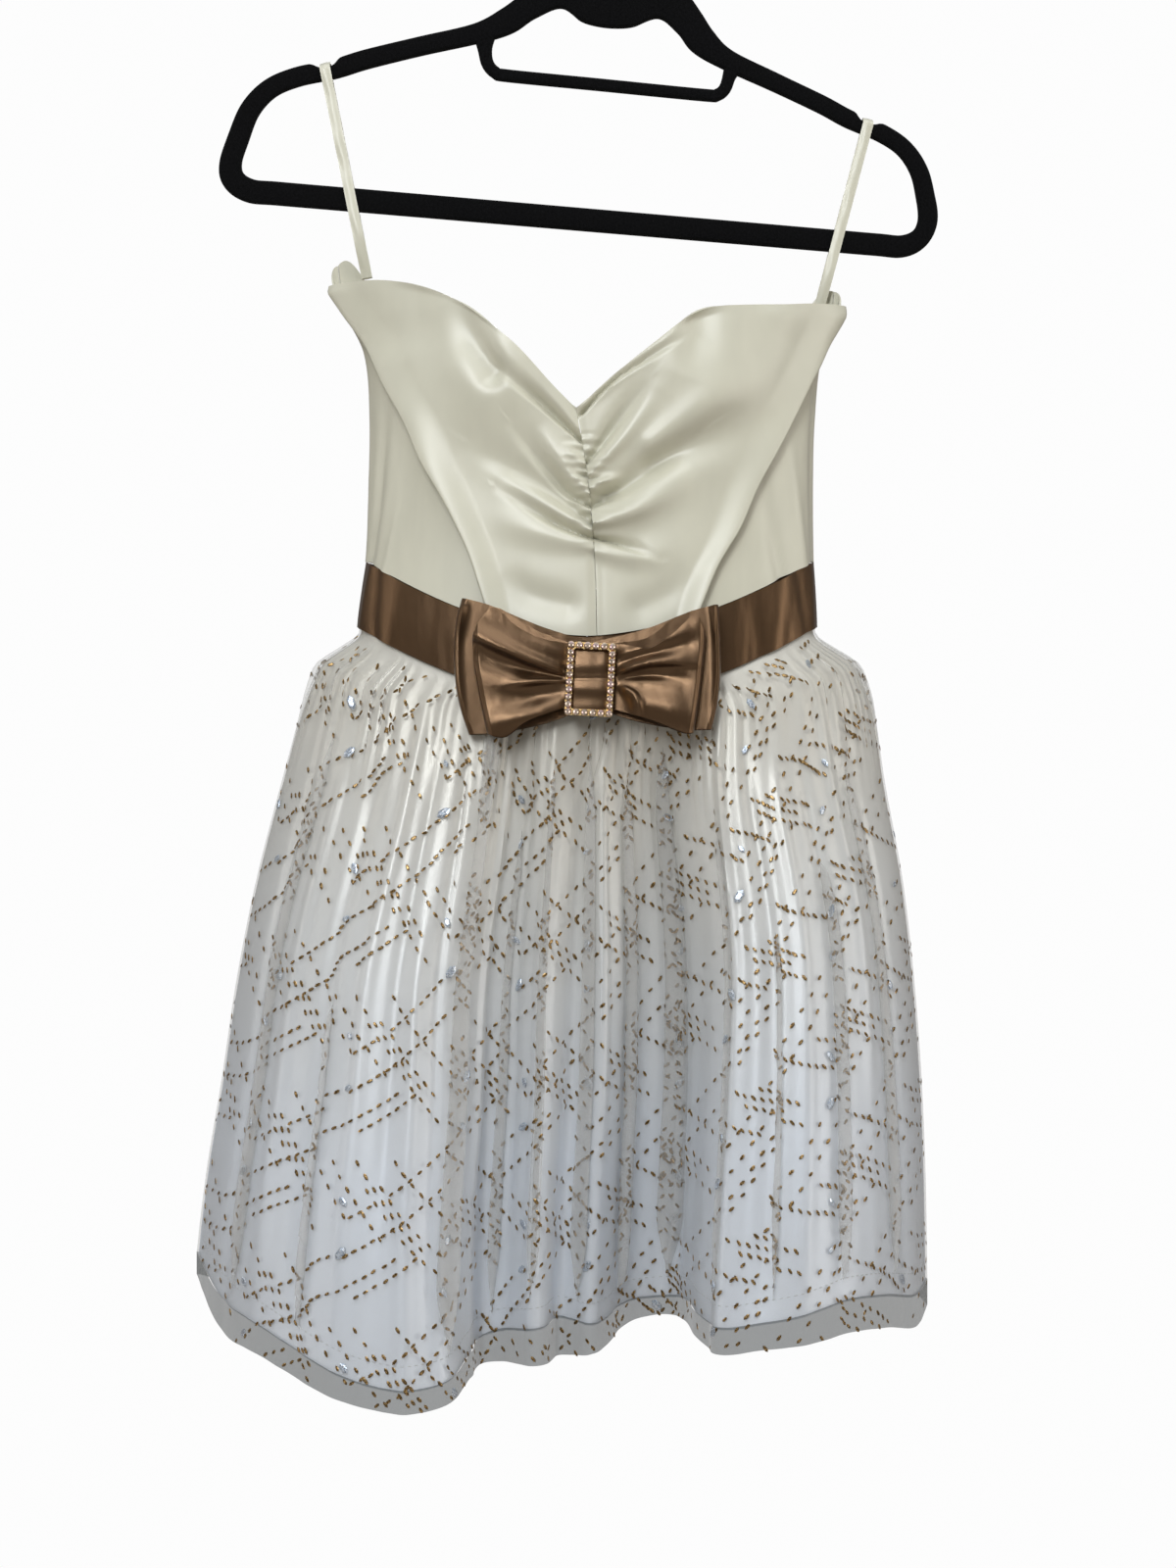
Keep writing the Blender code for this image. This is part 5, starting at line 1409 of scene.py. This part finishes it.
def climb(front, u):
    """Height that the rows of the pattern have climbed at a distance across."""
    most, first, last = CLIMB[front]
    steps = np.linspace(first, last, 60)
    slopes = most * smooth_step(first, last, steps)
    risen = np.concatenate([[0.0], np.cumsum((slopes[1:] + slopes[:-1]) / 2 * np.diff(steps))])
    return np.interp(u, steps, risen) + most * np.maximum(u - last, 0.0)


def laid_out(points):
    """Distance across the pattern at each column: its real length, less where it runs deep."""
    step = np.diff(points[int(np.searchsorted(NET_RINGS, PATTERN_ROW))], axis=0)
    far = walked(step[:, 0], DEPTH_COUNTS * step[:, 1])
    return (far - far[-1] / 2) / PATTERN_WIDER


def charted(front, kind, wide):
    """Flat places and directions of the glitter over the whole cloth, in metres."""
    rising, falling = (np.array([math.cos(way), math.sin(way)]) for way in (RISING, FALLING))
    if kind == "gold":
        marks = [(r + step_r * k, f + step_f * k, along)
                 for r, f, step_r, step_f, dashes, along in GOLD_STROKES for k in range(dashes)]
    else:
        marks = SILVER_SPOTS
    marks = np.array(marks, float)
    home = (marks[:, :1] * rising + marks[:, 1:2] * falling) * MM
    ways = np.where(marks[:, 2:] > 0, rising, falling)
    first, second = ((a * rising + b * falling) * MM for a, b in (FIRST_STEP, SECOND_STEP))
    spots = []
    for i in range(-REPEATS, REPEATS + 1):
        for j in range(-REPEATS, REPEATS + 1):
            places = home + first * i + second * j
            places[:, 1] += climb(front, places[:, 0])
            spots.append(np.concatenate([places, ways], axis=1))
    spots = np.concatenate(spots)
    return spots[np.abs(spots[:, 0]) < wide]


def glitter_on_net(front, word, kind, points):
    """Glitter glued on the net's outer face, carried through its gathers and laps."""
    far = laid_out(points)
    spots = charted(front, kind, far[-1] / PATTERN_AT_WAIST)
    down = -spots[:, 1] / SKIRT_LONG
    kept = down > FIRST_DASH
    spots, down = spots[kept], down[kept]
    down = np.minimum(down, 1.0) + np.maximum(down - 1.0, 0.0) / HEM_SHARE
    across = np.interp(spots[:, 0] / opened(down), far, np.linspace(0, 1, len(far)))
    kept = (across > SEAM_FREE) & (across < 1 - SEAM_FREE) & (down < LAST_DASH)
    spots, down, across = spots[kept], down[kept], across[kept]
    row = np.interp(down, NET_RINGS, np.arange(len(NET_RINGS)))
    column = across * (points.shape[1] - 1)
    i, j = (np.clip(at.astype(int), 0, most - 2) for at, most in zip((row, column), points.shape))
    fi, fj = (row - i)[:, None], (column - j)[:, None]
    corner = points[i, j], points[i, j + 1], points[i + 1, j], points[i + 1, j + 1]
    place = blend(blend(corner[0], corner[1], fj), blend(corner[2], corner[3], fj), fi)
    over, under = corner[1] - corner[0], corner[0] - corner[2]
    normal = unit(np.cross(over, under))
    along = unit(over) * (spots[:, 2] * opened(down))[:, None] + unit(under) * spots[:, 3][:, None]
    if kind == "gold":
        size = trims().dash_long, trims().dash_wide, trims().dash_thick
        name, values = "gold_dashes_", (*size, 0.13, GLITTER_SEED, gold_glitter())
    else:
        name, values = "silver_spots_", (*SPOT_SIZE, 0.3, GLITTER_SEED + 1, silver_glitter())
    return set_on_points(name + word, "glitter_net", "glitter dashes", place + normal * GLUE,
                         normal, along, *values)


# ---------------------------------------------------------------- bow and buckle

# steps along a loop's rear and front layers, up its height and round its outer bend
LOOP_STEPS = (22, 88)
LOOP_HEIGHT_STEPS = 97
BEND_STEPS = 16
# distance out from the knot over which a loop's folds rise
FOLDS_RISE = (0.0, 7.0 * MM)


def on_bow(across, depth, up):
    """World places of points measured from the bow's middle, depth out from the band."""
    out = depth * math.cos(BOW_PITCH) - up * math.sin(BOW_PITCH)
    z = up * math.cos(BOW_PITCH) + depth * math.sin(BOW_PITCH)
    return stacked(BOW_X + across, BAND_FACE_Y - out, BOW_Z + z)


def bow_loop(name, node, side, shape, leaning, rear, tip, folds, tops=None):
    """A flat loop of ribbon: behind, round its outer bend and back in front."""
    read_shape, read_lean = table_curve(shape), table_curve(leaning)
    start, reach = shape[0][0] * MM, shape[-1][0] * MM
    half = BOW_LOOP_DEPTH / 2
    behind, inward = (np.linspace(start, reach - tip, count) for count in LOOP_STEPS)
    swell_behind, swell = (half * np.sin(math.pi * (way - start) / (reach - start) * 0.5) ** 0.8
                           for way in (behind, inward))
    bend = math.pi * np.arange(1, BEND_STEPS) / BEND_STEPS
    across = np.concatenate([behind, reach - tip + tip * np.sin(bend), inward[::-1]])
    depth = rear + half + np.concatenate([-swell_behind, -half * np.cos(bend),
                                          (swell + RIBBON * 0.6)[::-1]])
    in_front = smooth_step(rear + half, rear + 1.9 * half, depth)
    above, below = read_shape(across)
    if tops:
        front_top, rear_top = table_curve(tops)(across)
        above = blend(rear_top, front_top, in_front)
    up = blend(-below[:, None], above[:, None], np.linspace(0, 1, LOOP_HEIGHT_STEPS)[None, :])
    leans = smooth_step(LEAN_FROM, 1.0, across / reach)[:, None]
    out = across[:, None] + leans * read_lean(up)[0]
    relief = crease_relief(folds, side * out, up)
    relief = relief * smooth_step(*FOLDS_RISE, across - start)[:, None]
    places = on_bow(side * out, depth[:, None] + relief * in_front[:, None], up)
    normal = unit(np.cross(np.gradient(places, axis=0), np.gradient(places, axis=1)))
    if (normal * (places - on_bow(side * across.mean(), depth.mean(), 0.0))).sum() < 0:
        normal = -normal
    half_thick = normal * looks().ribbon_thick / 2
    way_round = walked(np.diff(across), np.diff(depth))
    made = cloth(name, places + half_thick, places - half_thick, bronze_satin(),
                 stacked(up, way_round[:, None]))
    dressed(made, "bronze_satin", node)


BOW_LOOPS = (
    ("rear_loop_left", "bow_back_left", -1, BACK_BOW_LEFT, BACK_LEAN_LEFT, BOW_REAR, 2.6 * MM,
     REAR_FOLDS_LEFT),
    ("rear_loop_right", "bow_back_right", 1, BACK_BOW_RIGHT, BACK_LEAN_RIGHT, BOW_REAR, 2.6 * MM,
     REAR_FOLDS_RIGHT),
    ("front_loop_left", "bow_front_left", -1, FRONT_BOW_LEFT, FRONT_LEAN_LEFT, FRONT_BOW_REAR,
     2.8 * MM, BOW_FOLDS_LEFT, FRONT_TOPS_LEFT),
    ("front_loop_right", "bow_front_right", 1, FRONT_BOW_RIGHT, FRONT_LEAN_RIGHT, FRONT_BOW_REAR,
     2.8 * MM, BOW_FOLDS_RIGHT, FRONT_TOPS_RIGHT),
)
KNOT_COLUMNS, KNOT_ROWS = 40, 44
# how square the knot is across and how full in depth, as powers of a round section
KNOT_SQUARE, KNOT_FULL = 0.45, 0.6
# depth lost at its seam, then the seam's place and width as shares of its height
KNOT_SEAM = (0.14, 0.02, 0.016)
KNOT_WAVE = 0.3 * MM
KNOT_TWIST = 0.8 * MM


def knot_grid():
    """The ribbon that binds the bow: a soft band with a seam across its middle."""
    turn, share = np.meshgrid(np.linspace(0, 2 * math.pi, KNOT_COLUMNS, endpoint=False),
                              np.linspace(-0.5, 0.5, KNOT_ROWS))
    wide, deep, tall = KNOT_SIZE
    c, s = np.cos(turn), np.sin(turn)
    deep = deep * (1 - KNOT_SEAM[0] * bump_of((share - KNOT_SEAM[1]) / KNOT_SEAM[2]))
    deep = deep * (1 - 0.25 * (np.abs(share) * 2) ** 4)
    wave = KNOT_WAVE * np.sin(share * 17.0 + 0.6) * (1 - (2 * share) ** 2)
    x = wide / 2 * np.sign(c) * np.abs(c) ** KNOT_SQUARE
    y = deep / 2 * np.sign(s) * np.abs(s) ** KNOT_FULL + np.where(s < 0, wave, 0.0)
    z = share * tall + KNOT_TWIST * c * np.sin(share * 9)
    return stacked(x, y, z), stacked(x, z)


def bow_matrix(out, lean):
    turn = Matrix.Rotation(-BOW_PITCH, 4, "X") @ Matrix.Rotation(-lean, 4, "Y")
    return Matrix.Translation(Vector(on_bow(KNOT_ASIDE, out, 0.0))) @ turn


class DRESS_OT_bow(bpy.types.Operator):
    """Fold the flat bow from bronze ribbon and bind it"""

    bl_idname = "dress.bow"
    bl_label = "Bow"

    def execute(self, context):
        for row in BOW_LOOPS:
            bow_loop(*row)
        points, uv = knot_grid()
        made = mesh_object("knot_ribbon", points, tube_faces(points), bronze_satin(), 60, uv)
        made.data.transform(bow_matrix(KNOT_OUT, 0.0))
        dressed(made, "bronze_satin", "bow_knot")
        return {"FINISHED"}


def buckle_places():
    """Middles of the stones round the buckle's face, in the buckle's own plane."""
    half_wide, half_tall = (BUCKLE_WIDE - BUCKLE_BAR) / 2, (BUCKLE_TALL - BUCKLE_BAR) / 2
    rows = np.linspace(-half_tall, half_tall, trims().long_side)
    columns = np.linspace(-half_wide, half_wide, trims().short_side)[1:-1]
    return ([(side * half_wide, z) for side in (-1, 1) for z in rows]
            + [(x, side * half_tall) for side in (-1, 1) for x in columns])


class DRESS_OT_buckle(bpy.types.Operator):
    """Set stones in gold cups round the buckle"""

    bl_idname = "dress.buckle"
    bl_label = "Buckle stones"

    def execute(self, context):
        refinish("buckle_frame", gold_plate())
        matrix = bow_matrix(BUCKLE_OUT, BUCKLE_LEAN)
        places, wide = buckle_places(), trims().stone_wide
        facing, along = ([matrix.to_3x3() @ Vector(way)] * len(places)
                         for way in ((0, -1, 0), (1, 0, 0)))
        for name, form, out, *values in (
                ("stone_cups", "stone cups", -CUP_SUNK, wide * 1.12, wide * 1.12, 0.9 * MM,
                 0.01, 1, gold_plate()),
                ("buckle_stones", "stones", STONE_OUT, wide, wide, 1.7 * MM,
                 0.05, 5, cut_stone())):
            spots = [matrix @ Vector((x, -BUCKLE_THICK / 2 - out, z)) for x, z in places]
            set_on_points(name, "gold_metal", form, spots, facing, along, *values)
        return {"FINISHED"}


# ---------------------------------------------------------------- hanger and zip

# The flocked moulding in its own frame: across from its middle, up from its bar.
HANGER_TILT = math.radians(4.9)
HOOK_TO_BAR = 224.0 * MM
HANGER_THICK = 5.6 * MM
HANGER_EDGE = 2.0 * MM
NOTCHES = (-163.5 * MM, 170.5 * MM)
NOTCH_HALF_WIDTH = 9.0 * MM
NOTCH_DEPTH = 3.6 * MM
ARM_ABOVE_BAR = 40.0 * MM
# across, up, width of the arm: from the neck round the right end to the bar's middle
HANGER_HALF = (
    (0, 138, 44), (18, 139.5, 41.5), (35, 135.5, 23.5), (50, 124, 18), (61, 113.5, 17),
    (78, 104, 12.5), (110, 93, 11.5), (141, 82, 11.5), (159, 74.5, 11.5), (181, 67.5, 11.5),
    (196.5, 59, 11.5), (207, 46, 12), (212.5, 30, 12.5), (215.8, 14, 13), (212.5, 3, 13.5),
    (202, -3, 14), (185, -3.3, 14), (140, -3.3, 14), (95, -3.3, 14), (48, -3.3, 14),
    (0, -3.3, 14),
)
# how much shorter heights are for each metre to the right
HANGER_WARP = 0.155
MIDDLE_SHIFT = 2.5 * MM
MIDDLE_SHIFT_BETWEEN = (-6.0 * MM, 26.0 * MM)
NECK_SHIFT = 9.0 * MM
NECK_FROM = 88.0 * MM
END_SHIFT = 5.4 * MM
ARM_REACH = 205.0 * MM
HOOK_ROOT_UP = 161.5 * MM
# across, up, width: the small bar that holds ties, on two short legs that widen into the arms
TIE_BAR = (
    (-72, 104, 14), (-70.5, 95, 8.8), (-68, 86.5, 7.8), (-63, 81.7, 7.6), (-56, 80.5, 7.6),
    (0, 80.5, 7.6), (67, 80.5, 7.6), (75, 81.5, 7.6), (79.5, 86, 7.8), (81.5, 94, 8.8),
    (83.5, 102, 14),
)
TIE_BAR_THICK = 5.0 * MM
HANGER_STATIONS = 560
TIE_BAR_STATIONS = 90
SECTION_POINTS = 24
# stations on each side over which the bar's direction is read, so that its corners stay round
TURN_OVER = 4


def on_hanger(across, depth, up):
    """World places of points in the hanger's own frame, with the moulding's warp."""
    across = across + NECK_SHIFT * smooth_step(NECK_FROM, HOOK_ROOT_UP, up)
    down = up * (1 - HANGER_WARP * across) - HOOK_TO_BAR
    middle = MIDDLE_SHIFT * np.clip((HOOK_ROOT_UP - up) / HOOK_ROOT_UP, 0, 1)
    across = across + middle * smooth_step(*MIDDLE_SHIFT_BETWEEN, up)
    across = across - END_SHIFT * (across / ARM_REACH) ** 2
    x = across * math.cos(HANGER_TILT) + down * math.sin(HANGER_TILT)
    return stacked(x, depth, -across * math.sin(HANGER_TILT) + down * math.cos(HANGER_TILT))


def flat_bar(rows, thick, count, closed):
    """A flat bar with rounded edges along a row of middles and widths, as rings of points."""
    shares = np.arange(count) / count if closed else np.linspace(0, 1, count)
    across, up, width = Line(np.array(rows, float) * MM).at(shares)
    ahead = [np.roll(v, -TURN_OVER) - np.roll(v, TURN_OVER) if closed else np.gradient(v)
             for v in (across, up)]
    long = np.hypot(*ahead)
    turn = 2 * math.pi * (np.arange(SECTION_POINTS) + 0.5) / SECTION_POINTS
    c, s = np.cos(turn)[None, :], np.sin(turn)[None, :]
    reach = np.sign(c) * (width[:, None] / 2 - HANGER_EDGE) + HANGER_EDGE * c
    if closed:
        off = np.minimum(np.abs(across - NOTCHES[0]), np.abs(across - NOTCHES[1]))
        notch = NOTCH_DEPTH * np.exp(-3 * (off / NOTCH_HALF_WIDTH) ** 4) * (up > ARM_ABOVE_BAR)
        reach = reach - np.where(c > 0, notch[:, None], 0.0)
    depth = np.sign(s) * (thick / 2 - HANGER_EDGE) + HANGER_EDGE * s
    return on_hanger(across[:, None] - (ahead[1] / long)[:, None] * reach, depth,
                     up[:, None] + (ahead[0] / long)[:, None] * reach)


def flocked_hanger():
    """Arms, lower bar and tie bar as one smooth moulding under its pile."""
    left = [(-across, up, width) for across, up, width in reversed(HANGER_HALF)]
    arms = flat_bar(left + list(HANGER_HALF[1:]), HANGER_THICK, HANGER_STATIONS, True)
    tie = flat_bar(TIE_BAR, TIE_BAR_THICK, TIE_BAR_STATIONS, False)
    faces = tube_faces(arms, closed=True)
    faces += [[k + arms[..., 0].size for k in face] for face in tube_faces(tie)]
    made = mesh_object("flocked_hanger", np.concatenate([arms, tie]), faces, flock(), 50)
    dressed(made, "black_flock", "hanger_frame")


def refinish(node, material):
    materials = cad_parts[node].data.materials
    materials.clear()
    materials.append(material)


class DRESS_OT_hardware(bpy.types.Operator):
    """Finish the hanger, its hook and the zip's metal"""

    bl_idname = "dress.hardware"
    bl_label = "Hanger and zip"

    def execute(self, context):
        flocked_hanger()
        refinish("hanger_hook", hook_steel())
        refinish("zip_slider", zip_metal())
        refinish("zip_pull", zip_metal())
        return {"FINISHED"}


# ---------------------------------------------------------------- stage

CAMERA_PLACE = (-0.01694, -1.45, -0.57475)
CAMERA_LENS = 53.93
CAMERA_SENSOR = 36.0
FLOOR_RADIUS = 6.0
LIT_POINT = (-0.02, 0.0, -0.62)
COOL, WARM = (0.95, 0.98, 1.0), (1.0, 0.95, 0.88)
# name, place, width and height, the setting that its power is a share of, that share, colour
LIGHTS = (
    ("front_window", (-0.5, -2.1, 0.45), (0.5, 1.1), "key_power", 1.0, COOL),
    ("top_window", (0.25, -1.0, 1.2), (1.6, 1.0), "key_power", 0.55, COOL),
    ("left_strip", (-1.9, -0.5, -0.4), (0.3, 1.6), "side_power", 1.0, WARM),
    ("right_strip", (1.9, -0.8, -0.4), (0.5, 1.6), "side_power", 2.2, WARM),
    ("back_window", (0.3, 2.4, 0.2), (0.6, 1.3), "key_power", 0.8, COOL),
)
SHOWN_WHITE = (0.98, 0.98, 0.98, 1.0)


def area_light(name, place, size, power, colour):
    light = bpy.data.lights.new(name, "AREA")
    light.shape = "RECTANGLE"
    light.size, light.size_y = size
    light.energy = power
    light.color = colour
    made = placed(name, light)
    made.location = place
    made.rotation_euler = (Vector(LIT_POINT) - Vector(place)).to_track_quat("-Z", "Y").to_euler()


class DRESS_OT_stage(bpy.types.Operator):
    """Set the camera, soft lights and a plain pale floor"""

    bl_idname = "dress.stage"
    bl_label = "Stage"

    def execute(self, context):
        scene, settings = context.scene, context.scene.dress_stage
        camera = bpy.data.cameras.new("camera")
        camera.lens, camera.sensor_width = CAMERA_LENS, CAMERA_SENSOR
        scene.camera = placed("camera", camera)
        scene.camera.location = CAMERA_PLACE
        scene.camera.rotation_euler = (math.radians(90), 0, 0)
        scene.view_settings.view_transform = "Standard"
        for name, place, size, power, share, colour in LIGHTS:
            area_light(name, place, size, getattr(settings, power) * share, colour)
        mesh = bpy.data.meshes.new("floor")
        shape = bmesh.new()
        bmesh.ops.create_circle(shape, cap_ends=True, segments=96, radius=FLOOR_RADIUS)
        bmesh.ops.translate(shape, vec=(0, 0, settings.floor_z), verts=shape.verts)
        shape.to_mesh(mesh)
        shape.free()
        mesh.materials.append(pale_floor())
        placed("floor", mesh)
        scene.world = white_world(settings.fill)
        return {"FINISHED"}


def white_for_camera(tree, kind, otherwise, output):
    """White where the camera sees it; for all the light that it sends on, another shader."""
    mix = add_node(tree, "ShaderNodeMixShader", {
        "Fac": add_node(tree, "ShaderNodeLightPath").outputs["Is Camera Ray"],
        1: otherwise.outputs[0],
        2: add_node(tree, kind, {"Color": SHOWN_WHITE, "Strength": 1.0}).outputs[0]})
    tree.links.new(mix.outputs["Shader"], tree.nodes[output].inputs["Surface"])


def pale_floor():
    """A floor that looks as white as the photo's ground, and throws back little light."""
    made = new_material("pale floor", (0.42, 0.38, 0.34), 0.8)
    tree = made.node_tree
    white_for_camera(tree, "ShaderNodeEmission", tree.nodes["Principled BSDF"], "Material Output")
    return made


def white_world(fill):
    """A room round the object, pale above and brown below, that looks white."""
    world = bpy.data.worlds.new("studio")
    world.use_nodes = True
    tree = world.node_tree
    way = add_node(tree, "ShaderNodeTexCoord").outputs["Generated"]
    height = add_node(tree, "ShaderNodeSeparateXYZ", {"Vector": way}).outputs["Z"]
    height = add_node(tree, "ShaderNodeMapRange", {"Value": height, "From Min": -1.0})
    shades = ramp(tree, height.outputs["Result"],
                  ((0.30, (0.15, 0.12, 0.10)), (0.48, (0.24, 0.21, 0.18)),
                   (0.62, (0.40, 0.39, 0.38)), (0.90, (0.62, 0.64, 0.68))))
    room = tree.nodes["Background"]
    room.inputs["Strength"].default_value = fill
    tree.links.new(shades, room.inputs["Color"])
    white_for_camera(tree, "ShaderNodeBackground", room, "World Output")
    return world


# ---------------------------------------------------------------- panel and run

OPERATORS = (DRESS_OT_stage, DRESS_OT_hardware, DRESS_OT_hanger_loops, DRESS_OT_bodice,
             DRESS_OT_waist_ribbon, DRESS_OT_bow, DRESS_OT_buckle, DRESS_OT_satin_skirt,
             DRESS_OT_net_skirt)
GROUPS = (("dress_cloth", ClothSettings), ("dress_trim", TrimSettings),
          ("dress_stage", StageSettings))


class DRESS_PT_panel(bpy.types.Panel):
    """Lists the dress's pieces and its sizes and colours"""

    bl_idname = "DRESS_PT_panel"
    bl_label = "Fit and Flare Dress"
    bl_space_type = "VIEW_3D"
    bl_region_type = "UI"
    bl_category = "Dress"

    def draw(self, context):
        for name, group in GROUPS:
            box = self.layout.box()
            for title in group.__annotations__:
                box.prop(getattr(context.scene, name), title)
        for operator in OPERATORS:
            self.layout.operator(operator.bl_idname)


def register():
    for name, group in GROUPS:
        bpy.utils.register_class(group)
        setattr(bpy.types.Scene, name, PointerProperty(type=group))
    for made in (*OPERATORS, DRESS_PT_panel):
        bpy.utils.register_class(made)


def unregister():
    for made in reversed((*OPERATORS, DRESS_PT_panel)):
        bpy.utils.unregister_class(made)
    for name, group in reversed(GROUPS):
        delattr(bpy.types.Scene, name)
        bpy.utils.unregister_class(group)


def main():
    register()
    for operator in OPERATORS:
        group, word = operator.bl_idname.split(".")
        getattr(getattr(bpy.ops, group), word)()


if __name__ == "__main__":
    main()
